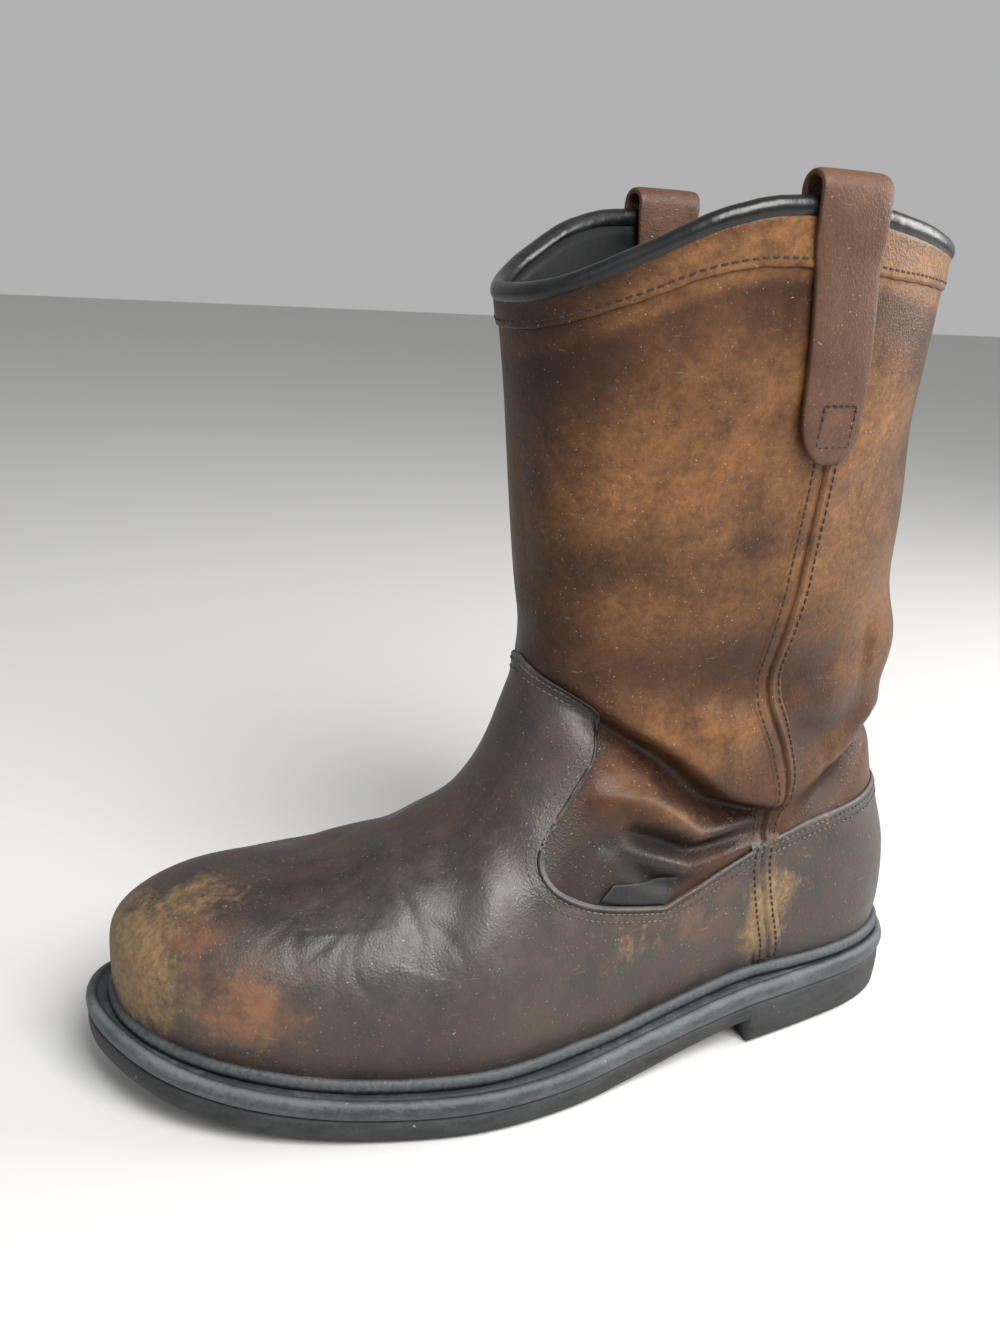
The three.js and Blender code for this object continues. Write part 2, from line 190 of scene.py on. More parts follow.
TOE_LIMIT = 149.5
TOE_FROM = 58.0
HEEL_FROM = -100.0
GIRTH_OVER = 15.0
FORM_SCALE = 45.0
PLAN_POWER = 2.35
TALL_POWER = 2.6
LEG_POWER = 2.15


def foot_form(x, y, z):
    widest = feather(x) + GIRTH_OVER
    below = np.clip((widest - z) / GIRTH_OVER, 0, 1)
    half = foot_half(x) * (1 - 0.05 * below * below)
    toe = np.maximum((x - TOE_FROM) / (TOE_LIMIT - TOE_FROM), 0)
    heel = np.maximum((HEEL_FROM - x) / (HEEL_FROM - leg_back(z)), 0)
    plan = sum(part ** PLAN_POWER for part in (np.abs((y - foot_middle(x)) / half), toe, heel))
    tall = np.where(z > widest, (z - widest) / (ridge(x) - widest), (widest - z) / 60)
    total = plan ** (TALL_POWER / PLAN_POWER) + np.abs(tall) ** TALL_POWER
    return (total ** (1 / TALL_POWER) - 1) * FORM_SCALE


def leg_form(x, y, z):
    back = leg_back(z)
    front = leg_front(z)
    dx = x - (back + front) / 2
    dy = y - leg_middle(z)
    along = np.cos(HEEL_TURN) * dx + np.sin(HEEL_TURN) * dy
    across = np.cos(HEEL_TURN) * dy - np.sin(HEEL_TURN) * dx
    total = (np.abs(along / ((front - back) / 2)) ** LEG_POWER
             + np.abs(across / leg_half(z)) ** LEG_POWER)
    return (total ** (1 / LEG_POWER) - 1) * FORM_SCALE


def boot_form(x, y, z):
    """Below zero inside the boot."""
    foot = foot_form(x, y, z)
    leg = leg_form(x, y, z)
    blend = 4 + 34 * ease((x + 70) / 75)
    near = np.maximum(blend - np.abs(foot - leg), 0) / blend
    return np.minimum(foot, leg) - near * near * blend / 4


def outward(points, level=False):
    """Unit normals of the form at points."""
    flat = points.reshape(-1, 3)
    reach = 0.4
    parts = []
    for axis in range(3):
        move = np.zeros(3)
        move[axis] = reach
        parts.append(boot_form(*(flat + move).T) - boot_form(*(flat - move).T))
    normals = np.stack(parts, 1)
    if level:
        normals[:, 2] = 0
    return unit(normals).reshape(points.shape)


def on_form(place, count, far):
    """The points where ways out from inside the boot meet its form, by halving."""
    low = np.zeros(count)
    high = np.full(count, far)
    for _ in range(30):
        t = (low + high) / 2
        inside = boot_form(*place(t)) < 0
        low = np.where(inside, t, low)
        high = np.where(inside, high, t)
    return np.stack(place(low), 1)


def collar(x, y):
    """Height of the cut edge, which stands higher on the outer side."""
    return collar_height(x) + OUTER_LIFT * np.clip((y - LEG_MIDDLE_Y) / 55, -1, 1)


# ---- Skin of the boot by turn and height -----------------------------------------------------
# turn: 0 at the front, 0.25 on the outer side, 0.5 at the back. height: 0 at the lower edge, 1 at
# the collar. Points are found on ways from a spine to an aim, both (x, level), and level is
# LEVELS at the collar.
LEVELS = 250.0
STATIONS = [0, 0.1, 0.2, 0.3, 0.4, 0.5, 0.58, 0.66, 0.8, 1]
SPINE_FRONT = [(60, 0), (60, 4), (60, 8), (58, 12), (45, 22), (10, 48), (-20, 85), (-38, 115),
               (-45, 170), (-50, 250)]
AIM_FRONT = [(152, 0), (152, 22), (135, 44), (100, 50), (62, 56), (36, 74), (22, 100), (17, 125),
             (22, 180), (30, 250)]
SPINE_BACK = [(-98, 0), (-98, 10), (-98, 20), (-98, 32), (-96, 46), (-92, 66), (-88, 92),
              (-80, 120), (-70, 180), (-62, 250)]
AIM_BACK = [(-152, 0), (-152, 11), (-152, 23), (-148, 36), (-143, 52), (-136, 72), (-132, 96),
            (-130, 124), (-126, 180), (-128, 250)]


def track(points):
    """A smooth run of (x, level) by height."""
    parts = [profile(STATIONS, [p[k] for p in points]) for k in (0, 1)]
    return lambda height: np.stack([part(height) for part in parts], -1)


spine_front, aim_front, spine_back, aim_back = map(
    track, (SPINE_FRONT, AIM_FRONT, SPINE_BACK, AIM_BACK))


def plain_skin(turn, height):
    """Points of the smooth last, before any fold."""
    turn, height = np.broadcast_arrays(np.asarray(turn, float), np.asarray(height, float))
    shape = turn.shape
    turn = turn.ravel()
    height = np.clip(height.ravel(), 0, 1)
    c = np.cos(2 * np.pi * turn)
    s = np.sin(2 * np.pi * turn)
    front = spine_front(height)
    back = spine_back(height)
    start = back + (front - back) * ((1 + c) / 2)[:, None]
    aim = np.where(c[:, None] > 0, aim_front(height) - front, aim_back(height) - back)
    aim *= (np.abs(c) / np.linalg.norm(aim, axis=1))[:, None]
    middle = foot_middle(start[:, 0]) * (1 - height) + leg_middle(200) * height

    def place(t):
        x = start[:, 0] + t * aim[:, 0]
        y = middle + t * s
        level = (start[:, 1] + t * aim[:, 1]) / LEVELS
        return x, y, seat(x) + (collar(x, y) - seat(x)) * level

    return on_form(place, len(turn), 170.0).reshape(shape + (3,))


# ---- Folds: (depth, width, points as turn and height) ----------------------------------------
OUTER_FOLDS = [
    (5.5, 5.0, [(0.140, 0.550), (0.18, 0.543), (0.22, 0.526), (0.27, 0.497), (0.33, 0.470)]),
    (-6.0, 3.4, [(0.18, 0.519), (0.225, 0.505), (0.26, 0.492), (0.335, 0.462)]),
    (4.0, 4.5, [(0.17, 0.502), (0.23, 0.487), (0.265, 0.474), (0.32, 0.452)]),
    (-3.2, 4.0, [(0.165, 0.516), (0.19, 0.498), (0.225, 0.472), (0.265, 0.456)]),
    (-3.0, 10, [(0.15, 0.645), (0.20, 0.642), (0.27, 0.634), (0.34, 0.640), (0.42, 0.650)]),
    (-2.2, 7, [(0.27, 0.60), (0.33, 0.575), (0.38, 0.56), (0.43, 0.575)]),
    (3.0, 14, [(0.19, 0.605), (0.26, 0.59), (0.33, 0.605), (0.40, 0.60)]),
    (-5.5, 6, [(0.34, 0.468), (0.38, 0.492), (0.42, 0.520), (0.465, 0.545), (0.5, 0.548),
               (0.56, 0.53)]),
    (4.0, 17, [(0.41, 0.64), (0.46, 0.65), (0.5, 0.65), (0.56, 0.63)]),
    (2.2, 8, [(0.38, 0.525), (0.43, 0.56), (0.47, 0.58)]),
    (-1.6, 13, [(-0.02, 0.735), (0.05, 0.738), (0.12, 0.742), (0.2, 0.728), (0.27, 0.74)]),
    (1.5, 16, [(0.02, 0.79), (0.10, 0.79), (0.2, 0.775)]),
    (-1.2, 12, [(0.30, 0.78), (0.37, 0.80), (0.44, 0.82)]),
]
INNER_FOLDS = [
    (4.0, 6, [(0.87, 0.55), (0.82, 0.535), (0.75, 0.505), (0.69, 0.487)]),
    (-3.5, 4, [(0.82, 0.508), (0.77, 0.495), (0.70, 0.470)]),
    (-2.6, 9, [(0.84, 0.65), (0.76, 0.640), (0.68, 0.645), (0.60, 0.655)]),
    (-4.5, 6, [(0.66, 0.47), (0.62, 0.495), (0.57, 0.525), (0.52, 0.545)]),
    (2.5, 12, [(0.80, 0.61), (0.72, 0.595), (0.63, 0.60)]),
    (-1.5, 12, [(0.93, 0.75), (0.85, 0.745), (0.77, 0.74), (0.66, 0.76)]),
]
VAMP_FOLDS = [
    (-2.4, 13, [(0.0, 0.375), (0.03, 0.365), (0.06, 0.35), (0.085, 0.31)]),
    (1.3, 11, [(-0.02, 0.42), (0.03, 0.415), (0.075, 0.39), (0.11, 0.34)]),
    (-1.6, 8, [(0.06, 0.455), (0.10, 0.42), (0.125, 0.37), (0.135, 0.30)]),
    (1.2, 8, [(0.09, 0.46), (0.125, 0.42), (0.15, 0.35), (0.16, 0.27)]),
    (-1.4, 9, [(0.94, 0.44), (0.90, 0.40), (0.87, 0.33)]),
    (-1.8, 12, [(0.97, 0.37), (0.93, 0.34), (0.90, 0.29)]),
    (-1.3, 8, [(0.10, 0.51), (0.14, 0.44), (0.175, 0.36), (0.19, 0.26)]),
]
# Overhangs: (stands out above, sinks below, width above, width below, points)
OVERHANGS = [
    (5.6, 7.5, 22, 7.5, [(0.0, 0.662), (0.069, 0.648), (0.137, 0.608), (0.212, 0.566),
                         (0.287, 0.522), (0.35, 0.482)]),
    (4.0, 5.0, 18, 8.0, [(1.0, 0.655), (0.93, 0.645), (0.86, 0.605), (0.79, 0.562), (0.71, 0.520),
                         (0.66, 0.490)]),
]


FAR = 1e9
REACH = 60.0
EDGE_SOFT = 5.5
SAG = 3.0


def break_lines():
    """Fine parallel creases where the foot bends."""
    lines = []
    for k in range(9):
        lean = 0.018 * np.sin(2.1 * k)
        foot = 0.33 - 0.004 * k
        lines.append((-0.32, 1.7, [(0.012 + 0.011 * k, foot + 0.10 - 0.004 * k),
                                   (0.040 + 0.012 * k + lean, foot + 0.045),
                                   (0.058 + 0.0125 * k + lean, foot - 0.03),
                                   (0.066 + 0.014 * k, foot - 0.10)]))
    return lines


def polyline_field(points, line, steps=7):
    """Distance of points from a curve on the skin, their share along it and height over it."""
    turn = np.array([p[0] for p in line])
    height = np.array([p[1] for p in line])
    key = np.arange(len(line))
    fine = np.linspace(0, len(line) - 1, (len(line) - 1) * steps + 1)
    route = plain_skin(profile(key, turn)(fine), profile(key, height)(fine))
    found = np.zeros((3, len(points)))
    found[0] = FAR
    close = np.all((points > route.min(0) - REACH) & (points < route.max(0) + REACH), axis=1)
    near = points[close]
    best, along, over = found[:, close]
    count = len(route) - 1
    for i in range(count):
        start = route[i]
        leg = route[i + 1] - start
        t = np.clip((near - start) @ leg / (leg @ leg), 0, 1)
        distance = np.linalg.norm(near - start - t[:, None] * leg, axis=1)
        along = np.where(distance < best, (i + t) / count, along)
        over = np.where(distance < best, near[:, 2] - start[2] - t * leg[2], over)
        best = np.minimum(best, distance)
    found[:, close] = best, along, over
    return found


def fold_lift(points):
    """How far the worn leather stands off the last and sags, in millimetres, and the painted shade
    of its creases and overhangs.
    """
    flat = points.reshape(-1, 3)
    lift = np.zeros(len(flat))
    sag = np.zeros(len(flat))
    painted_fold_shade = np.zeros(len(flat))
    for proud, sunk, above, below, line in OVERHANGS:
        distance, along, over = polyline_field(flat, line)
        fade = ease(along * 2.6) * ease((1 - along) * 7)
        signed = distance * np.sign(over)
        top = ease((signed + EDGE_SOFT) / (2 * EDGE_SOFT))
        low = np.exp(-(np.minimum(signed, 0) / below) ** 2) * (1 - top)
        lift += fade * (proud * np.exp(-(np.maximum(signed, 0) / above) ** 2) * top - sunk * low)
        sag += fade * SAG * np.exp(-((signed - 2.5) / 8) ** 2) * top
        # Painted shadow in the hollow just below each overhang
        painted_fold_shade += fade * 3.4 * np.exp(-((signed + 6) / (below * 0.8)) ** 2)
    for depth, width, line in OUTER_FOLDS + INNER_FOLDS + VAMP_FOLDS + break_lines():
        distance, along, _ = polyline_field(flat, line)
        fade = np.clip(np.minimum(along, 1 - along) * 4.5, 0, 1) ** 0.7
        shape = depth * fade * np.exp(-(distance / width) ** 2)
        lift += shape
        # Painted shade in the sunken folds
        if depth < 0:
            painted_fold_shade -= shape / (1.5 + 0.25 * width)
    x, y, z = flat.T
    slack = ease((z - 90) / 60)
    lift += slack * 0.7 * np.sin(z / 13 + x / 17) * np.sin(y / 19 + 1)
    lift += slack * 0.5 * np.sin(z / 29 - x / 23 + 2)
    lift *= ease((collar(x, y) - z) / 14) * ease((z - seat(x)) / 9)
    shape = points.shape[:-1]
    return lift.reshape(shape), sag.reshape(shape), painted_fold_shade.reshape(shape)


def skin(turn, height, lift=0.0):
    """Points of the worn skin, the outward normals of the last, and the painted shade of its
    folds.
    """
    smooth = plain_skin(turn, height)
    normals = outward(smooth)
    folds, sag, painted_fold_shade = fold_lift(smooth)
    places = smooth + normals * (folds + lift)[..., None]
    places[..., 2] -= sag
    return places, normals, painted_fold_shade


# ---- Meshes ----------------------------------------------------------------------------------
def deselect():
    for item in bpy.context.view_layer.objects:
        item.select_set(False)


def new_object(name, data):
    item = bpy.data.objects.new(name, data)
    bpy.context.collection.objects.link(item)
    return item


def make_piece(name, points, faces, materials):
    """A new mesh piece from points in millimetres."""
    mesh = bpy.data.meshes.new(name)
    world = (np.asarray(points, float).reshape(-1, 3) + [0, CENTRE_Y, 0]) * MM
    mesh.from_pydata(world.tolist(), [], [tuple(int(k) for k in face) for face in faces])
    mesh.update()
    mesh.polygons.foreach_set("use_smooth", [True] * len(mesh.polygons))
    piece = new_object(name, mesh)
    for finish in materials:
        mesh.materials.append(finish)
    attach(piece, "root")
    return piece


def point_outwards(piece):
    """Merges doubled points, so that the mesh is closed, and turns its faces outwards."""
    form = bmesh.new()
    form.from_mesh(piece.data)
    bmesh.ops.remove_doubles(form, verts=form.verts, dist=1e-6)
    bmesh.ops.recalc_face_normals(form, faces=form.faces)
    form.to_mesh(piece.data)
    form.free()


def apply_modifier(piece, kind, **settings):
    deselect()
    piece.select_set(True)
    bpy.context.view_layer.objects.active = piece
    modifier = piece.modifiers.new(kind, kind)
    for key, value in settings.items():
        setattr(modifier, key, value)
    bpy.ops.object.modifier_apply(modifier=modifier.name)


def grid_faces(rows, columns, around=False, closed=False):
    """Quads of a grid; around joins the last column to the first, closed the last row."""
    i, j = np.meshgrid(np.arange(rows if closed else rows - 1),
                       np.arange(columns if around else columns - 1), indexing="ij")
    i, j = i.ravel(), j.ravel()
    up = (i + 1) % rows
    on = (j + 1) % columns
    return np.stack([i * columns + j, i * columns + on, up * columns + on, up * columns + j], 1)


def paint(piece, **layers):
    """Writes named float values, one a point, on the mesh."""
    for name, values in layers.items():
        layer = piece.data.attributes.new(name, "FLOAT", "POINT")
        layer.data.foreach_set("value", np.asarray(values, float).ravel())


def blob(points, centre, radius):
    """1 at a place given in millimetres, falling to 0 at the radius."""
    distance = np.linalg.norm((points - np.array(centre)) / np.array(radius), axis=-1)
    return ease(1 - distance)


def outline_loop(count):
    """The sole's outline, evenly spaced, from the toe round the outer side."""
    points = np.array(OUTLINE, float)
    total = len(points)
    dense = []
    t = np.arange(OUTLINE_STEPS)[:, None] / OUTLINE_STEPS
    for i in range(total):
        p0, p1, p2, p3 = (points[(i + k - 1) % total] for k in range(4))
        dense.append(0.5 * (2 * p1 + (p2 - p0) * t + (2 * p0 - 5 * p1 + 4 * p2 - p3) * t * t
                            + (3 * p1 - p0 - 3 * p2 + p3) * t ** 3))
    dense = np.roll(np.vstack(dense), -TOE_CORNER * OUTLINE_STEPS, axis=0)[::-1]
    dense = np.vstack([dense, dense[:1]])
    length = np.r_[0, np.cumsum(np.hypot(*np.diff(dense, axis=0).T))]
    at = np.linspace(0, length[-1], count, endpoint=False)
    return np.stack([np.interp(at, length, dense[:, k]) for k in (0, 1)], 1)


def sole_loop(line, inset):
    """The outline drawn in by a distance, on the floor."""
    along = unit(np.roll(line, -1, 0) - np.roll(line, 1, 0))
    return np.stack([line[:, 0] - along[:, 1] * inset, line[:, 1] + along[:, 0] * inset,
                     np.zeros(len(line))], 1)


def plate(loops):
    """Points and faces of a plate closed by strips from side to side."""
    count = len(loops[0])
    points = np.vstack(loops)
    faces = grid_faces(len(loops), count, around=True).tolist()
    top = (len(loops) - 1) * count
    for i in range(count // 2):
        a, b, c, d = i, i + 1, count - i - 1, (count - i) % count
        if i == 0:
            faces += [(top, top + 1, top + count - 1), (0, count - 1, 1)]
        elif b == c:
            faces += [(top + a, top + b, top + d), (a, d, b)]
        else:
            faces += [(top + a, top + b, top + c, top + d), (a, d, c, b)]
    return points, faces


# ---- Materials -------------------------------------------------------------------------------
# The first colour is darker leather and painted shadow under the overhanging fold on the shaft
DARK_LEATHER_AND_SHADOW = (0.020, 0.017, 0.015)
RUST = (0.165, 0.062, 0.024)
DUST_SPECK = (0.52, 0.43, 0.32)
PALE_HAIR = (0.45, 0.33, 0.22)


class Nodes:
    """The nodes of one material, on the piece's own coordinates."""

    def __init__(self, name):
        self.material = bpy.data.materials.new(name)
        self.material.use_nodes = True
        self.tree = self.material.node_tree
        self.tree.nodes.clear()
        self.place = self.add("ShaderNodeTexCoord").outputs["Object"]

    def feed(self, socket, value):
        """Links another node's socket, or sets a value; a colour is given without its alpha."""
        if isinstance(value, bpy.types.NodeSocket):
            self.tree.links.new(value, socket)
        elif socket.type == "RGBA":
            socket.default_value = (*value, 1)
        else:
            socket.default_value = value

    def add(self, kind, settings=None, **inputs):
        """Adds a node; i0, i1 and so on are inputs by number, and the rest by name."""
        node = self.tree.nodes.new(kind)
        for key, value in (settings or {}).items():
            setattr(node, key, value)
        for key, value in inputs.items():
            by_number = key[0] == "i" and key[1:].isdigit()
            self.feed(node.inputs[int(key[1:]) if by_number else key.replace("_", " ")], value)
        return node

    def math(self, operation, a, b):
        return self.add("ShaderNodeMath", {"operation": operation}, i0=a, i1=b).outputs[0]

    def plus(self, a, b):
        return self.math("ADD", a, b)

    def times(self, a, b):
        return self.math("MULTIPLY", a, b)

    def blend(self, factor, a, b):
        return self.add("ShaderNodeMix", {"data_type": "RGBA"}, i0=factor, i6=a, i7=b).outputs[2]

    def span(self, value, low, high, out_low=0.0, out_high=1.0):
        """Carries low to high over to out_low to out_high, and stops at both ends."""
        return self.add("ShaderNodeMapRange", {"clamp": True}, i0=value, i1=low, i2=high,
                        i3=out_low, i4=out_high).outputs[0]

    def noise(self, scale, detail, roughness, stretch=None):
        place = self.place
        if stretch:
            place = self.add("ShaderNodeMapping", Vector=place, Scale=stretch).outputs[0]
        return self.add("ShaderNodeTexNoise", Vector=place, Scale=scale, Detail=detail,
                        Roughness=roughness).outputs[0]

    def wave(self, direction, **inputs):
        return self.add("ShaderNodeTexWave", {"bands_direction": direction}, Vector=self.place,
                        **inputs).outputs["Fac"]

    def painted(self, name):
        return self.add("ShaderNodeAttribute", {"attribute_name": name}).outputs["Fac"]

    def finish(self, colour, roughness, height, strength, distance, **constants):
        """Joins colour, roughness and bump to the surface, and gives the material."""
        bump = self.add("ShaderNodeBump", Strength=strength, Distance=distance, Height=height)
        shader = self.add("ShaderNodeBsdfPrincipled", Base_Color=colour, Roughness=roughness,
                          Normal=bump.outputs[0], **constants)
        self.add("ShaderNodeOutputMaterial", Surface=shader.outputs[0])
        return self.material


def tint(colour, red, green, blue):
    return colour[0] * red, colour[1] * green, colour[2] * blue


def worn_leather(name, deep, body, light, scuff, polish, gloss):
    """Oiled leather: mottled, grained, specked, with painted shade in its folds and painted
    highlights, and scuffed where painted.
    """
    n = Nodes(name)
    cloud = n.noise(26, 5, 0.6)
    patch = n.noise(75, 6, 0.65)
    fine = n.noise(420, 4, 0.7)
    colour = n.blend(n.span(n.plus(cloud, n.times(patch, 0.55)), 0.58, 0.98), deep, body)
    # The light layer paints highlights and sheen on the lit side in the light colour, partly a
    # paler worn tan
    highlight_and_wear = n.times(n.painted("light"), n.span(patch, 0.30, 0.70, 0.15, 0.95))
    colour = n.blend(highlight_and_wear, colour, light)
    colour = n.blend(n.span(fine, 0.38, 0.66, 0.0, 0.5), colour, deep)
    # Painted shade: the shade layer darkens the leather in creases, hollows and on the side away
    # from the light
    shade = n.span(n.painted("shade"), 0.0, 1.0, 0.0, 0.85)
    colour = n.blend(shade, colour, tint(deep, 0.35, 0.33, 0.33))
    scratch = n.noise(230, 5, 0.6, stretch=(1.0, 1.0, 0.14))
    rubbed = n.plus(n.times(n.noise(160, 8, 0.72), 0.75), n.times(scratch, 0.35))
    scuffed = n.painted("scuff")
    mask = n.span(n.plus(n.times(scuffed, 0.62), rubbed), 0.84, 1.05)
    mask = n.times(mask, n.span(scuffed, 0.02, 0.2))
    colour = n.blend(n.times(mask, n.span(fine, 0.3, 0.62, 0.25, 0.95)), colour, scuff)
    # The grey layer: darker leather and painted shadow low on the shaft under the overhanging fold
    grey = n.times(n.painted("grey"), n.span(cloud, 0.25, 0.6, 0.55, 1.0))
    colour = n.blend(grey, colour, DARK_LEATHER_AND_SHADOW)
    warm = n.times(n.painted("warm"), n.span(patch, 0.36, 0.62))
    colour = n.blend(warm, colour, RUST)
    colour = n.blend(n.span(n.noise(1250, 2, 0.5), 0.69, 0.77, 0.0, 0.5), colour, DUST_SPECK)
    hair = n.noise(560, 2, 0.4, stretch=(0.16, 0.5, 1.0))
    colour = n.blend(n.span(hair, 0.72, 0.79, 0.0, 0.12), colour, PALE_HAIR)
    rough = n.span(n.plus(patch, n.times(mask, 0.5)), 0.3, 0.95, polish, polish + 0.33)
    pebble = n.add("ShaderNodeTexVoronoi", Vector=n.place, Scale=1150.0).outputs[0]
    grain = n.plus(n.times(pebble, 0.5), n.times(fine, 0.9))
    grain = n.math("SUBTRACT", grain, n.times(mask, 0.35))
    wrinkles = n.noise(260, 3, 0.6, stretch=(1.0, 0.4, 0.4))
    grain = n.plus(grain, n.times(n.painted("wrinkle"), wrinkles))
    return n.finish(colour, rough, grain, 0.42, 0.0004, Specular_IOR_Level=gloss)


def black_leather(name, colour, rough, wrinkles, gloss=0.4):
    """Smooth dark leather with fine cross wrinkles and a grey bloom where it rubs."""
    n = Nodes(name)
    soft = n.noise(60, 5, 0.6)
    fine = n.noise(700, 4, 0.65)
    crinkle = n.noise(wrinkles, 3, 0.5, stretch=(1.0, 1.0, 0.35))
    rubbed = [2 * part + 0.002 for part in colour]
    shade = n.blend(n.span(soft, 0.4, 0.8, 0.0, 0.8), colour, rubbed)
    shade = n.blend(n.span(fine, 0.70, 0.80, 0.0, 0.15), shade, (0.12, 0.115, 0.11))
    height = n.plus(n.times(crinkle, 1.2), n.times(fine, 0.25))
    return n.finish(shade, n.span(soft, 0.3, 0.7, rough, rough + 0.2), height, 0.4, 0.0005,
                    Specular_IOR_Level=gloss)


def fabric(name, colour, pitch):
    """Plain woven cloth with a soft pile and grime."""
    n = Nodes(name)
    warp, weft = [n.wave(way, Scale=pitch, Distortion=1.5, Detail=1.0) for way in "XZ"]
    weave = n.times(warp, weft)
    fuzz = n.noise(900, 3, 0.7)
    grimy = tint(colour, 0.5, 0.47, 0.44)
    shade = n.blend(n.span(n.noise(40, 5, 0.6), 0.35, 0.7), colour, grimy)
    shade = n.blend(n.span(fuzz, 0.3, 0.8, 0.0, 0.35), shade, (0.02, 0.02, 0.02))
    return n.finish(shade, 0.95, n.plus(weave, fuzz), 0.5, 0.0005, Sheen_Weight=0.3)


def rubber(name, colour, dust, amount, rough):
    """Dark rubber with pale dust on its edges and in its grain."""
    n = Nodes(name)
    cloud = n.noise(34, 6, 0.65)
    fine = n.noise(600, 5, 0.7)
    smear = n.noise(120, 6, 0.7, stretch=(0.5, 0.5, 1.6))
    shade = n.blend(n.span(cloud, 0.3, 0.75), colour, tint(colour, 1.7, 1.75, 1.75))
    veil = n.plus(n.times(smear, 0.7), n.times(fine, 0.45))
    veil = n.plus(veil, n.times(n.painted("dust"), 0.42))
    veil = n.span(veil, 0.66, 1.0, 0.0, amount)
    shade = n.blend(veil, shade, dust)
    chip = n.span(n.noise(330, 3, 0.6), 0.70, 0.75, 0.0, 0.6)
    shade = n.blend(chip, shade, (0.30, 0.30, 0.28))
    height = n.plus(fine, n.times(smear, 0.8))
    return n.finish(shade, n.span(veil, 0.0, 1.0, rough, 0.92), height, 0.4, 0.0007)


def thread(name, colour):
    """Twisted sewing thread, dirty in places."""
    n = Nodes(name)
    twist = n.wave("DIAGONAL", Scale=900.0, Distortion=0.5)
    grimy = tint(colour, 0.4, 0.38, 0.36)
    shade = n.blend(n.span(n.noise(90, 3, 0.6), 0.4, 0.65), colour, grimy)
    return n.finish(shade, 0.8, twist, 0.6, 0.0003)


MATERIALS = {}


def material(key):
    """Materials are made when a piece first asks for them."""
    tones = bpy.context.scene.boot_colours
    finishes = {
        "shaft": (worn_leather, "tan_oiled_leather", tones.shaft_deep, tones.shaft,
                  tones.shaft_highlight_and_wear, (0.30, 0.18, 0.075), 0.36, 0.24),
        "foot": (worn_leather, "dark_oiled_leather", tones.foot_deep, tones.foot,
                 tones.foot_sheen_and_rubbing, tones.scuff, 0.42, 0.7),
        "strap": (worn_leather, "strap_leather", (0.045, 0.020, 0.012), tones.strap,
                  (0.135, 0.062, 0.033), (0.22, 0.13, 0.07), 0.42, 0.3),
        "binding": (black_leather, "black_rolled_leather", (0.004, 0.0045, 0.005), 0.22, 240),
        "band": (black_leather, "black_lining_leather", (0.003, 0.0036, 0.004), 0.45, 150, 0.12),
        "tab": (black_leather, "black_tab", (0.006, 0.007, 0.007), 0.55, 700),
        "lining": (fabric, "grey_lining_cloth", (0.16, 0.16, 0.155), 420),
        "insole": (fabric, "insole_cloth", (0.20, 0.19, 0.17), 300),
        "outsole": (rubber, "outsole_rubber", tones.rubber, (0.065, 0.070, 0.068), 0.55, 0.66),
        "ledge": (rubber, "ledge_rubber", (0.016, 0.021, 0.024), (0.125, 0.140, 0.142), 0.7, 0.45),
        "bead": (rubber, "bead_rubber", (0.009, 0.012, 0.014), (0.085, 0.095, 0.10), 0.5, 0.4),
        "thread": (thread, "dark_thread", (0.030, 0.020, 0.014)),
        "grey_thread": (thread, "grey_thread", (0.120, 0.105, 0.085)),
    }
    if key not in MATERIALS:
        maker, *finish = finishes[key]
        MATERIALS[key] = maker(*finish)
    return MATERIALS[key]


# ---- Wear, painted highlights and painted shade on the leather: (layer, strength, centre, radius) ---
# shade is painted shade, light is painted highlight with worn tan, grey is darker leather with
# painted shadow; scuff, warm and wrinkle are wear, colour and bump
LAYERS = ("shade", "light", "scuff", "warm", "wrinkle", "grey")
FOOT_WEAR_AND_LIGHT = [
    ("scuff", 0.95, (142, 2, 48), (30, 34, 34)),
    ("scuff", 0.50, (122, -2, 72), (26, 30, 18)),
    ("scuff", 0.40, (112, 30, 44), (44, 24, 30)),
    ("scuff", 0.62, (-76, 31, 50), (19, 18, 38)),
    ("scuff", 0.35, (-90, 31, 60), (26, 18, 14)),
    ("scuff", 0.35, (-20, 45, 58), (46, 20, 26)),
    ("scuff", 0.60, (140, -32, 48), (30, 30, 34)),
    ("scuff", 0.45, (-78, -44, 50), (14, 18, 30)),
    ("scuff", 0.35, (-140, 0, 60), (24, 34, 30)),
    ("warm", 0.90, (112, 32, 44), (26, 22, 22)),
    ("warm", 0.75, (128, 20, 62), (14, 20, 16)),
    ("warm", 0.40, (-45, 37, 58), (30, 16, 16)),
    ("warm", -0.09, (55, 32, 66), (74, 40, 40)),
    ("light", 0.95, (55, 32, 66), (74, 40, 40)),
    ("light", 0.50, (0, 30, 95), (50, 30, 40)),
    ("shade", 0.60, (98, 10, 70), (26, 26, 18)),
    ("shade", 0.50, (140, 6, 28), (40, 40, 16)),
    ("wrinkle", 1.00, (68, 30, 66), (40, 40, 36)),
    ("wrinkle", 0.70, (10, 30, 100), (30, 30, 40)),
]
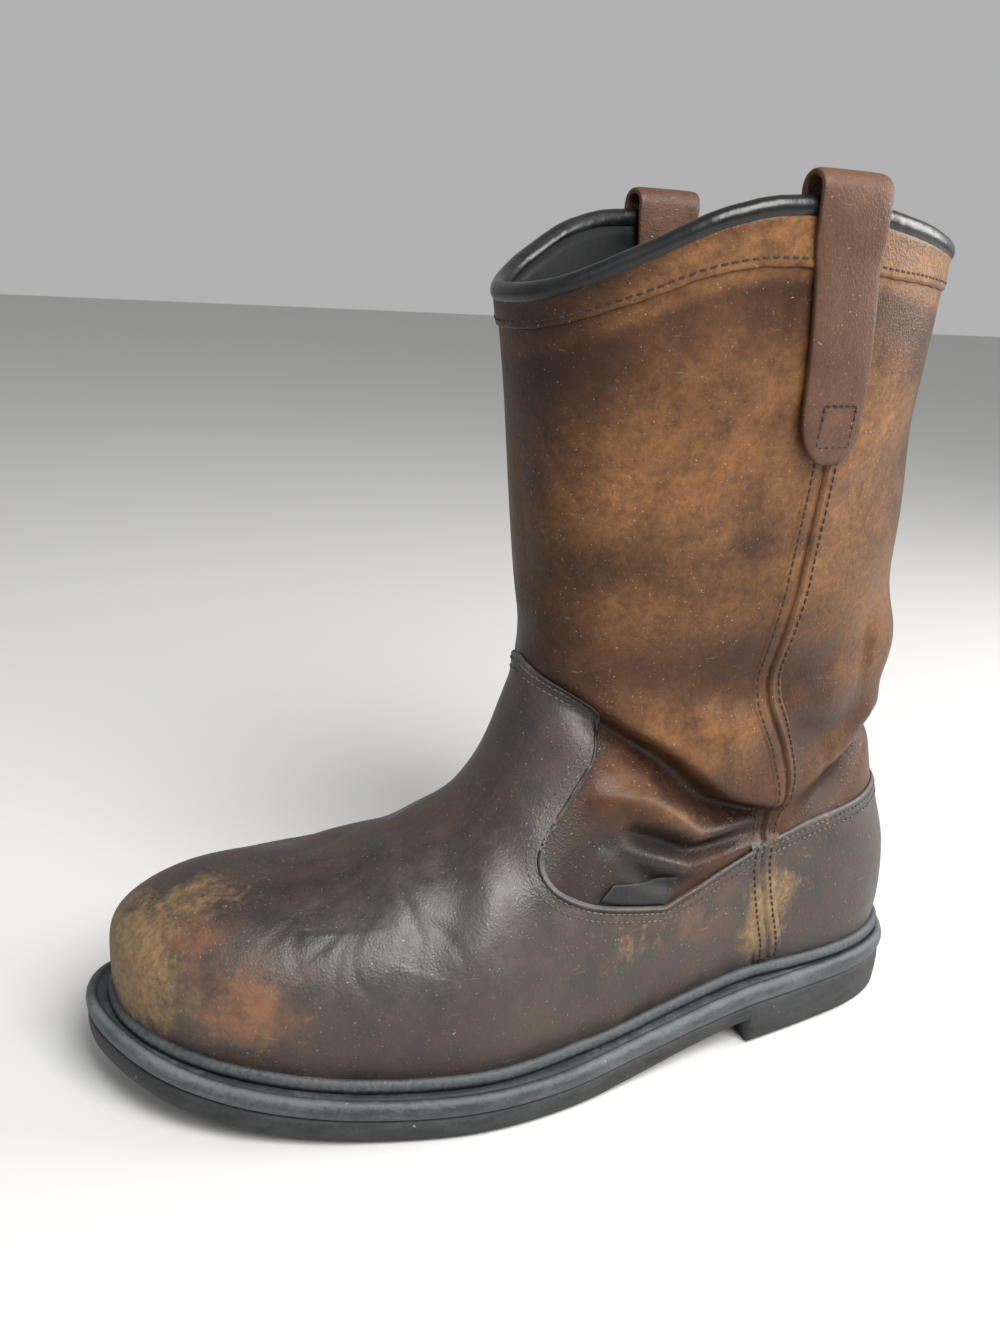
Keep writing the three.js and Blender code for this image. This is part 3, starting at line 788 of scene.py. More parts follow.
SHAFT_WEAR_AND_LIGHT = [
    ("light", 0.90, (-110, 16, 158), (34, 24, 34)),
    ("light", 1.00, (-36, 32, 126), (52, 26, 24)),
    ("light", 1.00, (-45, 32, 95), (34, 20, 12)),
    ("light", 0.60, (-105, 22, 105), (30, 20, 24)),
    ("shade", 0.55, (20, 10, 275), (46, 40, 34)),
    ("shade", 0.50, (-5, 30, 185), (44, 30, 16)),
    ("shade", 0.35, (-50, 42, 205), (26, 20, 60)),
    ("shade", 0.50, (12, 0, 132), (40, 40, 26)),
    ("shade", 0.35, (-12, 32, 150), (40, 30, 18)),
    ("shade", 0.25, (-20, 40, 240), (40, 30, 26)),
    ("scuff", 0.30, (-118, 12, 140), (24, 24, 40)),
    ("scuff", 0.25, (-66, 36, 100), (20, 20, 40)),
    ("warm", 0.35, (-20, 34, 112), (40, 20, 26)),
    ("warm", 0.30, (-30, 45, 225), (40, 20, 40)),
    ("wrinkle", 0.60, (-10, 30, 170), (50, 40, 50)),
]


def wear_and_painted_light(points, painted_fold_shade, on_foot):
    """Each layer of wear and of painted highlight and shade, from 0 to 1, for points of the skin.
    """
    x, y, z = points[..., 0], points[..., 1], points[..., 2]
    layers = {name: np.zeros(x.shape) for name in LAYERS}
    # Painted shade in creases and under overhangs
    layers["shade"] += np.clip(painted_fold_shade * 0.58, 0, 1)
    for name, strength, centre, radius in FOOT_WEAR_AND_LIGHT if on_foot else SHAFT_WEAR_AND_LIGHT:
        layers[name] += strength * blob(points, centre, radius)
    if on_foot:
        layers["scuff"] += 0.20
        layers["warm"] += 0.09
        # Painted shade just above the bead, where the upper meets the welt
        layers["shade"] += 0.45 * ease((feather(x) + 7 - z) / 8)
    else:
        below = collar(x, y) - z
        outer = ease((y - LEG_MIDDLE_Y) / 12)
        # Painted highlight and worn tan across the middle of the shaft and just under the collar
        middle = ease((z - 150) / 40) * ease((below - 24) / 30) * ease((x + 128) / 40)
        layers["light"] += 0.95 * middle + 0.8 * ease((22 - below) / 6)
        # Painted shade on the front of the shaft, away from the light, and just under the collar
        # binding
        layers["shade"] += 0.72 * ease((x + 6) / 26) * ease((z - 110) / 30)
        layers["shade"] += 0.5 * ease((6 - below) / 6)
        layers["scuff"] += 0.10
        # Darker leather and painted shadow low on the shaft, less on the lit fold ridge
        layers["grey"] += ease((118 - z) / 26) * ease((x + 58) / 34) * (0.35 + 0.65 * outer)
        fold = np.exp(-((z - (98 + 0.25 * (x + 30))) / 6.5) ** 2) * ease((16 - x) / 30)
        layers["grey"] *= 1 - 0.85 * outer * fold
    return {name: np.clip(values, 0, 1) for name, values in layers.items()}


# ---- Panels and seams on the skin, as (turn, height) -----------------------------------------
VAMP_EDGE = [(0.0, 0.668), (0.055, 0.656), (0.105, 0.632), (0.124, 0.600), (0.130, 0.568),
             (0.1300, 0.535), (0.1325, 0.505), (0.142, 0.475), (0.163, 0.450), (0.195, 0.441),
             (0.228, 0.439), (0.268, 0.437), (0.322, 0.449)]
VAMP_FOOT = [0.0, 0.004, 0.009, 0.014, 0.022, 0.045, 0.075, 0.105, 0.140, 0.178, 0.222, 0.272,
             0.334]
COUNTER_EDGE = [(0.322, 0.449), (0.372, 0.456), (0.43, 0.449), (0.477, 0.443), (0.5, 0.442)]
COUNTER_FROM = 0.343
SEAM_SIDE = [(0.274, 0.835), (0.277, 0.769), (0.277, 0.722), (0.268, 0.659), (0.273, 0.619),
             (0.305, 0.565), (0.325, 0.515), (0.322, 0.449), (0.330, 0.304), (0.338, 0.16),
             (0.343, 0.06)]
JOIN_HEIGHT = 0.449
JOIN_LEVEL = 74.0
TAB_LOW = [(0.193, 0.447), (0.21, 0.444), (0.228, 0.442), (0.247, 0.441)]
TAB_HIGH = [(0.195, 0.466), (0.21, 0.467), (0.228, 0.468), (0.247, 0.470)]
# Last steps up to a panel's cut edge, where it rounds over
EDGE_STEPS = [0.010, 0.0055, 0.0025, 0.0008, 0.0]
# Across a side seam: (place beside its line, height off the shaft)
SEAM_SECTION = [(-6.6, -0.3), (-6.0, 0.2), (-4.6, 0.4), (-3.2, 0.55), (-2.0, 0.6), (-1.0, 0.45),
                (-0.5, 0.05), (-0.1, -0.15), (0.3, 0.1), (0.8, 1.0), (1.5, 1.5), (2.3, 1.2),
                (3.0, 0.5), (4.2, 0.4), (6.0, 0.2), (6.6, -0.3)]


def curve_uv(points, count):
    """A smooth run of places on the skin through the given ones."""
    key = np.arange(len(points))
    fine = np.linspace(0, len(points) - 1, count)
    return np.stack([profile(key, [p[k] for p in points])(fine) for k in (0, 1)], 1)


def other_side(run):
    return np.stack([1 - run[:, 0], run[:, 1]], 1)


def over_front(half):
    """A run that starts at the front, led up to it from the inner side."""
    return np.vstack([other_side(half)[::-1][:-1] - [1, 0], half])


def round_back(half):
    """A run that ends at the back, led on round the inner side."""
    return np.vstack([half, other_side(half)[::-1][1:]])


def evenly(run, pitch):
    """Places along a run a given number of millimetres apart."""
    points = plain_skin(run[:, 0], run[:, 1])
    length = np.r_[0, np.cumsum(np.linalg.norm(np.diff(points, axis=0), axis=1))]
    count = max(int(length[-1] / pitch), 2)
    at = np.linspace(0, length[-1], count)
    return np.stack([np.interp(at, length, run[:, k]) for k in (0, 1)], 1)


def shifted(run, distance):
    """The run moved sideways over the skin, to its left as it is walked."""
    turn, height = run.T
    step = 1e-3
    points = plain_skin(turn, height)
    next_height = np.minimum(height + step, 1.0)
    by_turn = (plain_skin(turn + step, height) - points) / step
    by_height = (plain_skin(turn, next_height) - plain_skin(turn, next_height - step)) / step
    side = np.cross(outward(points), unit(np.gradient(points, axis=0))) * distance
    a, b, c, p, q = ((u * v).sum(1) for u, v in (
        (by_turn, by_turn), (by_turn, by_height), (by_height, by_height),
        (side, by_turn), (side, by_height)))
    det = a * c - b * b
    return run + np.stack([(p * c - q * b) / det, (q * a - p * b) / det], 1)


def stitch_rows(name, rows, pitch, size, lift, key="thread"):
    """One joined mesh of small rounded stitches of a size, laid along runs on the skin."""
    deselect()
    bpy.ops.mesh.primitive_cube_add(size=1)
    pattern = bpy.context.active_object
    apply_modifier(pattern, "BEVEL", width=0.3, segments=2, limit_method="NONE")
    shape = np.array([v.co[:] for v in pattern.data.vertices])
    shape_faces = [tuple(f.vertices) for f in pattern.data.polygons]
    bpy.data.objects.remove(pattern, do_unlink=True)
    points = []
    faces = []
    for run in rows:
        run = evenly(run, pitch)
        places, normals, _ = skin(run[:, 0], run[:, 1], lift)
        along = unit(np.gradient(places, axis=0))
        side = unit(np.cross(normals, along))
        up = np.cross(along, side)
        for place, *axes in zip(places, along, side, up):
            first = len(points) * len(shape)
            faces += [tuple(first + k for k in face) for face in shape_faces]
            points.append(place + (shape * size) @ np.array(axes))
    make_piece(name, np.vstack(points), faces, [material(key)])


def edge_lift(distance, thick):
    """Height of a laid-on panel near its rounded cut edge."""
    inwards = np.clip(distance / (0.9 * thick), 0, 1)
    return thick * np.sqrt(np.clip(1 - (1 - inwards) ** 2, 0.02, 1))


def panel(name, edge, foot, rows, thick):
    """A dark panel laid over the foot, between a lower line and a shaped upper edge."""
    t = np.linspace(0, 1, rows - 4) ** 0.92
    t = np.r_[t[:-1], 1 - np.array(EDGE_STEPS)][:, None]
    turn, height = ((1 - t) * foot[:, k] + t * edge[:, k] for k in (0, 1))
    base = plain_skin(turn, height)
    reach = np.linalg.norm(base - base[-1:], axis=-1)
    places, normals, painted_fold_shade = skin(turn, height)
    places = places + normals * edge_lift(reach, thick)[..., None]
    piece = make_piece(name, places, grid_faces(len(t), len(edge)),
                       [material("foot")])
    values = wear_and_painted_light(base, painted_fold_shade, True)
    values["light"] = np.clip(values["light"] + 0.9 * ease(1 - reach / 2.4), 0, 1)
    paint(piece, **values)
    apply_modifier(piece, "SOLIDIFY", thickness=1.1 * MM, offset=-1.0)


def facing_drop(turn):
    """How far the facing reaches down from the collar, as a share of the height."""
    return 0.030 + 0.010 * np.sin(2 * np.pi * turn) ** 2


# ---- Settings --------------------------------------------------------------------------------
def length(name, description, millimetres):
    return FloatProperty(name=name, description=description, default=millimetres * MM,
                         unit="LENGTH")


def colour(name, description, default):
    return FloatVectorProperty(name=name, description=description, subtype="COLOR",
                               default=default)


class BootSizes(bpy.types.PropertyGroup):
    """Sizes that a user may change."""
    panel_thick: length("Panel", "Thickness of the laid-on leather panels", 1.3)
    stitch_pitch: length("Stitch pitch", "Distance from stitch to stitch", 3.1)
    binding_round: length("Binding", "Half width of the rolled collar binding", 3.0)
    points_round: IntProperty(name="Points round", description="Mesh points round the boot",
                              default=300)


class BootColours(bpy.types.PropertyGroup):
    """Colours that a user may change."""
    shaft: colour("Shaft", "Main colour of the shaft leather", (0.092, 0.040, 0.016))
    shaft_deep: colour("Shaft, dark", "Dark mottling of the shaft", (0.028, 0.011, 0.006))
    # Painted highlight on the lit side of the shaft, and a worn tan
    shaft_highlight_and_wear: colour("Shaft, light", "Worn tan of the shaft", (0.235, 0.108, 0.038))
    foot: colour("Foot", "Main colour of the vamp and counter", (0.031, 0.0205, 0.0130))
    foot_deep: colour("Foot, dark", "Dark mottling of the foot", (0.009, 0.007, 0.006))
    # Painted grey sheen on the vamp, also on the rubbed panel edges
    foot_sheen_and_rubbing: colour("Foot, light", "Greyed bloom on the vamp", (0.075, 0.072, 0.069))
    scuff: colour("Scuffs", "Rubbed-through colour of toe and seams", (0.195, 0.120, 0.046))
    strap: colour("Straps", "Colour of the pull straps", (0.056, 0.024, 0.013))
    rubber: colour("Sole", "Colour of the outsole rubber", (0.005, 0.006, 0.0065))


class BOOT_OT_upper(bpy.types.Operator):
    """Hollow leather upper: worn outside, black band and cloth lining inside"""
    bl_idname = "boot.upper"
    bl_label = "Upper"

    BAND_ROWS = 11

    def execute(self, context):
        around = context.scene.boot_sizes.points_round
        turn = np.arange(around)[None, :] / around
        heights = np.r_[np.linspace(0, 0.40, 34), np.linspace(0.40, 1, 170)[1:]]
        outside = plain_skin(turn, heights[:, None])
        places, _, painted_fold_shade = skin(turn, heights[:, None])
        inner_heights = np.linspace(1, 0, 70)
        inner_base = plain_skin(turn, inner_heights[:, None])
        inner_normals = outward(inner_base)
        for row in (0, -1):
            inner_normals[row] = outward(inner_base[row], level=True)
        folds, sag, _ = fold_lift(outside)
        near = [np.abs(heights - height) < 0.03 for height in inner_heights]
        folds, sag = (np.stack([field[rows].min(0) for rows in near]) for field in (folds, sag))
        inside = inner_base + inner_normals * (folds - WALL)[..., None]
        inside[..., 2] -= sag
        points = np.concatenate([places, inside])
        faces = grid_faces(len(points), around, around=True, closed=True)
        piece = make_piece("upper_shell", points, faces,
                           [material("shaft"), material("band"), material("lining")])
        painted_fold_shade = np.concatenate([painted_fold_shade, np.zeros(inner_base.shape[:2])])
        paint(piece, **wear_and_painted_light(np.concatenate([outside, inner_base]), painted_fold_shade, False))
        inner_row = np.arange(len(points)).repeat(around) - len(heights)
        index = np.where(inner_row < 0, 0, np.where(inner_row < self.BAND_ROWS, 1, 2))
        piece.data.polygons.foreach_set("material_index", index)
        point_outwards(piece)
        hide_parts("upper")
        return {"FINISHED"}


class BOOT_OT_panels(bpy.types.Operator):
    """Dark vamp and counter laid over the foot, and the tan facing round the collar"""
    bl_idname = "boot.panels"
    bl_label = "Vamp, counter and facing"

    def execute(self, context):
        thick = context.scene.boot_sizes.panel_thick / MM
        edge = over_front(curve_uv(VAMP_EDGE, 150))
        key = np.arange(len(VAMP_FOOT))
        foot = profile(key, VAMP_FOOT)(np.linspace(0, key[-1], 150))
        panel("vamp", edge, over_front(np.stack([foot, 0 * foot], 1)), 130, thick)
        edge = round_back(curve_uv(COUNTER_EDGE, 70))
        foot = np.linspace(COUNTER_FROM, 1 - COUNTER_FROM, len(edge))
        edge[:, 0] += np.linspace(0.003, -0.003, len(edge))
        panel("counter", edge, np.stack([foot, 0 * foot], 1), 70, thick * 0.92)
        self.facing()
        return {"FINISHED"}

    @staticmethod
    def facing():
        """The tan strip under the binding, with its pinked lower edge."""
        around = 300
        turn = np.arange(around) / around
        drop = facing_drop(turn) + 0.0007 * np.abs((turn * 90) % 2 - 1)
        t = np.array([0, 0.04, 0.10, 0.2, 0.4, 0.6, 0.8, 1.0])
        heights = 1 - drop * (1 - t[:, None])
        base = plain_skin(turn, heights)
        reach = np.linalg.norm(base - base[:1], axis=-1)
        places, normals, _ = skin(turn, heights)
        places = places + normals * (edge_lift(reach, 0.9) + 0.05)[..., None]
        piece = make_piece("collar_facing", places, grid_faces(len(t), around, around=True),
                           [material("shaft")])
        values = wear_and_painted_light(base, np.zeros(reach.shape), False)
        # More of the light layer on the facing: painted highlight along the top band, with worn
        # tan
        values["light"] = np.clip(values["light"] + 0.6, 0, 1)
        paint(piece, **values)
        apply_modifier(piece, "SOLIDIFY", thickness=0.8 * MM, offset=-1.0)


class BOOT_OT_side_seams(bpy.types.Operator):
    """Corded seams down both sides of the shaft, and the joins of vamp and counter"""
    bl_idname = "boot.side_seams"
    bl_label = "Side seams"

    def execute(self, context):
        outer = evenly(curve_uv(SEAM_SIDE, 240), 1.2)
        self.seam("side_seam_outer", outer, -1.0)
        self.seam("side_seam_inner", other_side(outer), 1.0)
        return {"FINISHED"}

    def seam(self, name, run, thicken):
        rows = []
        painted_fold_shade = []
        for offset, lift in SEAM_SECTION:
            turn, height = shifted(run, offset).T
            on_foot = ease((JOIN_HEIGHT + 0.003 - height) / 0.004)
            places, _, fold = skin(turn, height, lift * (1 - 0.45 * on_foot) + 1.2 * on_foot)
            rows.append(places)
            # Painted shade from the folds, and a dark painted line in the groove beside the cord
            painted_fold_shade.append(fold * 0.28 + (0.8 if abs(offset + 0.1) < 0.6 else 0.0))
        piece = make_piece(name, np.stack(rows), grid_faces(len(rows), len(run)),
                           [material("shaft"), material("foot")])
        paint(piece, **self.values(plain_skin(run[:, 0], run[:, 1]), np.stack(painted_fold_shade)))
        low = np.tile(run[:-1, 1] < JOIN_HEIGHT, len(rows) - 1)
        piece.data.polygons.foreach_set("material_index", low.astype(int))
        apply_modifier(piece, "SOLIDIFY", thickness=0.9 * MM, offset=thicken)
        point_outwards(piece)

    @staticmethod
    def values(base, painted_fold_shade):
        """Wear and painted light and shade of the shaft above the join and of the foot below it,
        for every row.
        """
        shaft, foot = (wear_and_painted_light(base, np.zeros(len(base)), on_foot) for on_foot in (False, True))
        low = base[:, 2] < JOIN_LEVEL
        merged = {key: np.tile(np.where(low, foot[key], shaft[key]), (len(painted_fold_shade), 1))
                  for key in LAYERS}
        # More of the light layer (painted highlight and worn tan) over the seam, and the painted
        # shade of each row
        merged["light"] = np.clip(merged["light"] + 0.1, 0, 1)
        merged["shade"] = np.clip(merged["shade"] + painted_fold_shade, 0, 1)
        return merged


class BOOT_OT_stitching(bpy.types.Operator):
    """Rows of thread along every seam and panel edge"""
    bl_idname = "boot.stitching"
    bl_label = "Stitching"

    def execute(self, context):
        pitch = context.scene.boot_sizes.stitch_pitch / MM
        thick = context.scene.boot_sizes.panel_thick / MM
        edges = (over_front(curve_uv(VAMP_EDGE, 260)), round_back(curve_uv(COUNTER_EDGE, 90)))
        stitch_rows("panel_stitches", self.beside(edges, -2.6, -5.6), pitch * 0.8,
                    (1.6, 0.6, 0.55), thick + 0.08, "grey_thread")
        seam = curve_uv(SEAM_SIDE, 260)
        high, low = seam[seam[:, 1] > 0.455], seam[seam[:, 1] < 0.440]
        stitch_rows("side_stitches", self.beside((high, other_side(high)), -4.4, 5.0),
                    pitch * 0.9, (2.0, 0.7, 0.5), 0.5)
        stitch_rows("join_stitches", self.beside((low, other_side(low)), -3.6, 3.8),
                    pitch * 0.8, (1.7, 0.6, 0.5), thick + 0.45)
        turn = np.linspace(0, 1, 400)
        facing = np.stack([turn, 1.007 - facing_drop(turn)], 1)
        stitch_rows("facing_stitches", [facing], pitch, (2.1, 0.7, 0.5), 0.95)
        return {"FINISHED"}

    @staticmethod
    def beside(runs, *distances):
        return [shifted(run, distance) for run in runs for distance in distances]


class BOOT_OT_collar(bpy.types.Operator):
    """Rolled black binding over the cut edge of the collar"""
    bl_idname = "boot.collar"
    bl_label = "Collar binding"

    def execute(self, context):
        around, ring = 420, 20
        turn = np.arange(around) / around
        angle_round = turn * 2 * np.pi
        edge = plain_skin(turn, np.ones(around))
        normals = outward(edge, level=True)
        size = context.scene.boot_sizes.binding_round / MM
        loops = []
        for angle in np.linspace(0, 2 * np.pi, ring, endpoint=False):
            fine_pucker = 0.008 * np.sin(angle_round * 61 + 2 * np.sin(angle))
            pucker = 1 + fine_pucker + 0.02 * np.sin(angle_round * 9 + angle)
            away = -WALL / 2 + size * np.cos(angle) * pucker + 0.25
            loop = edge + normals * away[:, None]
            loop[:, 2] += 0.6 + (size + 0.4) * np.sin(angle) * pucker
            loops.append(loop)
        piece = make_piece("collar_roll", np.stack(loops), grid_faces(ring, around, True, True),
                           [material("binding")])
        point_outwards(piece)
        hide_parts("collar_binding")
        return {"FINISHED"}


# ---- Pull straps -----------------------------------------------------------------------------
STRAP_ROUND = 44
SQUARE = [(-6.5, 0), (6.5, 0), (6.5, 13), (-6.5, 13), (-6.5, 0)]
SQUARE_UP = 6.0
BLOCK_FACES = [(0, 1, 3, 2), (4, 6, 7, 5), (0, 4, 5, 1), (2, 3, 7, 6), (0, 2, 6, 4), (1, 5, 7, 3)]


def wall_point(x, z, side):
    """Side wall of the shaft at a fore-and-aft place and a height."""
    return on_form(lambda t: (x, side * t + LEG_MIDDLE_Y, z), len(x), 90.0)


def strap_route():
    """Middle of the strap as distance from the skin and height over the cut edge."""
    half = STRAP_THICK / 2
    outer = GAP + 0.35 + half
    inner = -WALL - outer
    swell = 1.3
    radius = (outer - inner) / 2 + swell
    centre = STRAP_RISE - half - radius
    opening = [(0.3, -8), (0.7, -4), (1, 0), (1, 3)]
    route = [(outer, over) for over in np.linspace(-STRAP_DOWN_OUT, -12, 34)]
    route += [(outer + swell * share, over) for share, over in opening]
    for angle in np.linspace(0, np.pi, 15):
        route.append((-WALL / 2 + radius * np.cos(angle), centre + radius * np.sin(angle)))
    route += [(inner - swell * share, over) for share, over in opening[::-1]]
    route += [(inner, over) for over in np.linspace(-12, -STRAP_DOWN_IN, 14)]
    return np.array(route)


def strap_place(route, share, lift, side):
    """Places in the strap: along its route, across it from 0 to 1, and off its middle."""
    step = unit(np.gradient(route, axis=0))
    away, over = route.T
    tip = np.minimum((over + STRAP_DOWN_OUT + 1) / 15, 1)
    rounded = np.sqrt(np.clip(1 - (1 - tip) ** 2, 0.02, 1))
    round_end = np.where((tip < 1) & (away > 0), rounded, 1)
    middle = STRAP_X + STRAP_LEAN * np.minimum(over, 0)
    narrow = 1 - 0.07 * ease((-over - 8) / 10)
    x = middle + (share - 0.5) * STRAP_WIDE * narrow * round_end
    cut = collar(STRAP_X, wall_point(np.array([STRAP_X]), np.array([285.0]), side)[0, 1])
    base = wall_point(x, np.minimum(cut + over, cut), side)
    normals = outward(base, level=True)
    bend = 0.5 * np.sin(over / 14 + side) * ease(-over / 30) * (away > 0)
    push = away + np.abs(bend) + step[:, 1] * lift
    places = base + normals * push[:, None]
    places[:, 2] += np.maximum(over, 0) - step[:, 0] * lift
    return places


class BOOT_OT_straps(bpy.types.Operator):
    """Pull straps folded over the collar, each with a stitched square near its end"""
    bl_idname = "boot.straps"
    bl_label = "Pull straps"

    def execute(self, context):
        route = strap_route()
        section = []
        for angle in np.linspace(0, 2 * np.pi, STRAP_ROUND, endpoint=False):
            c, s = np.cos(angle), np.sin(angle)
            section.append((0.5 + 0.5 * np.sign(c) * abs(c) ** 0.28,
                            STRAP_THICK / 2 * np.sign(s) * abs(s) ** 0.45))
        faces = grid_faces(len(route), STRAP_ROUND, around=True).tolist()
        for start, order in ((0, 1), ((len(route) - 1) * STRAP_ROUND, -1)):
            end = start + STRAP_ROUND
            faces += [(start + k, start + k + 1, end - 2 - k, end - 1 - k)[::order]
                      for k in range(STRAP_ROUND // 2 - 1)]
        for side, name, node in ((1, "strap_outer", "pull_strap_outer"),
                                 (-1, "strap_inner", "pull_strap_inner")):
            loops = [strap_place(route, share, lift, side) for share, lift in section]
            piece = make_piece(name, np.stack(loops, 1), faces,
                               [material("strap")])
            point_outwards(piece)
            self.wear_and_painted_light(piece)
            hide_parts(node)
            self.square(route, side, name)
        return {"FINISHED"}

    @staticmethod
    def wear_and_painted_light(piece):
        """Dark long edges; the rest is rubbed evenly."""
        points = np.array([v.co[:] for v in piece.data.vertices]) / MM
        middle = STRAP_X + STRAP_LEAN * np.minimum(points[:, 2] - 294, 0)
        edge = ease((np.abs(points[:, 0] - middle) - 12.2) / 2)
        blank = np.zeros(len(points))
        paint(piece, shade=0.5 * edge, light=0.55 + blank, scuff=0.28 + blank, warm=blank,
              wrinkle=0.5 + blank, grey=blank)

    @staticmethod
    def square(route, side, name):
        """A small square of stitches near each end of the strap, outside and inside."""
        points = []
        faces = []
        for down, away, face in ((STRAP_DOWN_OUT, route[0, 0], 1),
                                 (STRAP_DOWN_IN, route[-1, 0], -1)):
            start = SQUARE_UP - down
            for (ax, az), (bx, bz) in zip(SQUARE[:-1], SQUARE[1:]):
                for t in np.arange(0.1, 1, 0.2):
                    x = STRAP_X + STRAP_LEAN * start + ax + (bx - ax) * t
                    z = start + az + (bz - az) * t + collar(STRAP_X, side * 50 + LEG_MIDDLE_Y)
                    base = wall_point(np.array([x]), np.array([z]), side)[0]
                    normal = outward(base[None], level=True)[0]
                    lie = np.array([bx - ax, 0, bz - az]) / 13.0
                    across = np.cross(normal, lie)
                    centre = base + normal * (away + face * (STRAP_THICK / 2 + 0.05))
                    first = len(points) * 8
                    points.append([centre + lie * 0.95 * i + across * 0.32 * j + normal * 0.35 * k
                                   for i in (-1, 1) for j in (-1, 1) for k in (-1, 1)])
                    faces += [tuple(first + v for v in corners) for corners in BLOCK_FACES]
        piece = make_piece(name + "_stitches", np.array(points), faces,
                           [material("thread")])
        point_outwards(piece)


class BOOT_OT_tab(bpy.types.Operator):
    """Small blank black tab tucked under the edge of the vamp"""
    bl_idname = "boot.tab"
    bl_label = "Side tab"

    def execute(self, context):
        t = np.linspace(0, 1, 22)
        corners = np.linspace(0, 1, len(TAB_LOW))
        low, high = (np.stack([np.interp(t, corners, np.array(line)[:, k]) for k in (0, 1)], 1)
                     for line in (TAB_LOW, TAB_HIGH))
        rows = []
        for share in np.linspace(0, 1, 8):
            turn, height = (low + (high - low) * share).T
            rows.append(skin(turn, height, 1.1 + 0.5 * share + 0.25 * np.sin(6 * t))[0])
        piece = make_piece("side_tab", np.stack(rows), grid_faces(len(rows), len(t)),
                           [material("tab")])
        apply_modifier(piece, "SOLIDIFY", thickness=0.7 * MM, offset=0.0)
        point_outwards(piece)
        return {"FINISHED"}


# ---- Sections of the sole's parts, from the bottom by the outside to the top -----------------
SOLE_ROUND = 420
BEAD_ROUND = 900
# Ledge: (inset, share of its height, dust)
LEDGE_SECTION = [(2.6, 0.0, 0.2), (1.2, 0.03, 0.6), (0.45, 0.12, 0.9), (0.1, 0.3, 0.6),
                 (0.0, 0.5, 0.4), (0.15, 0.68, 0.5), (0.6, 0.84, 0.8), (1.4, 0.95, 0.9),
                 (2.4, 1.0, 0.7), (3.2, 0.97, 0.5), (3.6, 0.86, 0.1), (4.1, 0.84, 0.0),
                 (4.6, 0.9, 0.2), (6.5, 0.92, 0.3)]
# Bead: (distance from the upper, height, dust)
BEAD_SECTION = [(0.55, 0.0, 0.0), (4.0, 0.0, 0.3), (4.15, 1.2, 0.7), (3.9, 2.3, 0.8),
                (3.1, 3.3, 0.5), (2.1, 3.9, 0.4), (1.2, 3.95, 0.2), (0.55, 3.5, 0.0)]
# Outsole: (inset, share of its height, extra height)
OUTSOLE_SECTION = [(3.6, 0.0, 0.0), (2.0, 0.02, 0.5), (1.1, 0.0, 1.6), (0.7, 0.3, 1.2),
                   (0.55, 0.62, 0.6), (0.75, 0.86, 0.2), (1.4, 1.0, 0.0)]
# Insole: (distance inwards, height)
INSOLE_SECTION = [(4.2, 0.2), (3.6, 1.2), (3.6, INSOLE_THICK - 0.8), (4.4, INSOLE_THICK),
                  (9, INSOLE_THICK)]


class BOOT_OT_sole(bpy.types.Operator):
    """Outsole, rounded ledge, ticked bead and insole"""
    bl_idname = "boot.sole"
    bl_label = "Sole"

    def execute(self, context):
        self.ledge()
        self.bead()
        self.insole()
        self.outsole()
        return {"FINISHED"}

    @staticmethod
    def ledge():
        line = outline_loop(SOLE_ROUND)
        loops = []
        for inset, share, _ in LEDGE_SECTION:
            loop = sole_loop(line, inset)
            low, high = sole_top(loop[:, 0]) + 0.15, ledge_top(loop[:, 0])
            loop[:, 2] = low + share * (high - low)
            loops.append(loop)
        points, faces = plate(loops)
        piece = make_piece("welt_ledge", points, faces, [material("ledge")])
        wave = np.sin(np.arange(SOLE_ROUND) / 17.0) * 0.5 + 0.5
        paint(piece, dust=np.outer([dust for _, _, dust in LEDGE_SECTION], 0.6 + 0.4 * wave))
        point_outwards(piece)
        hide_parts("midsole")

    @staticmethod
    def seat_loop(count, away, up):
        """A loop round the foot of the upper, a distance out from it and above its seat."""
        base = plain_skin(np.arange(count) / count, np.zeros(count))
        loop = base + outward(base, level=True) * np.broadcast_to(away, count)[:, None]
        loop[:, 2] = seat(loop[:, 0]) + up
        return loop

    def bead(self):
        ticks = 0.22 * (np.arange(BEAD_ROUND) % 4 < 2)
        loops = [self.seat_loop(BEAD_ROUND, away - ticks * (1.0 < up < 3.0), up)
                 for away, up, _ in BEAD_SECTION]
        faces = grid_faces(len(loops), BEAD_ROUND, True, True)
        piece = make_piece("rand_bead", np.stack(loops), faces,
                           [material("bead")])
        paint(piece, dust=np.repeat([dust for _, _, dust in BEAD_SECTION], BEAD_ROUND))
        point_outwards(piece)
        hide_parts("bead")

    def insole(self):
        points, faces = plate([self.seat_loop(200, -inward, up) for inward, up in INSOLE_SECTION])
        piece = make_piece("insole_pad", points, faces, [material("insole")])
        point_outwards(piece)
        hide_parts("insole")

    @staticmethod
    def outsole():
        line = outline_loop(SOLE_ROUND)
        loops = []
        for inset, share, extra in OUTSOLE_SECTION:
            loop = sole_loop(line, inset)
            past = loop[:, 0] - BREAST
            x = np.where(np.abs(past) < 1.2, BREAST + np.sign(past) * 0.25, loop[:, 0])
            low = np.where(x < BREAST, 0.0, underside(x))
            wobble = 0.18 * np.sin(x / 7.3) * np.sin(x / 3.1 + 1)
            loop[:, 0] = x
            loop[:, 2] = low + share * (sole_top(x) - low) + extra + wobble * (0.1 < share < 0.9)
            loops.append(loop)
        points, faces = plate(loops)
        piece = make_piece("outsole_body", points, faces,
                           [material("outsole")])
        point_outwards(piece)
        paint(piece, dust=np.full(len(piece.data.vertices), 0.45))
        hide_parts("outsole")


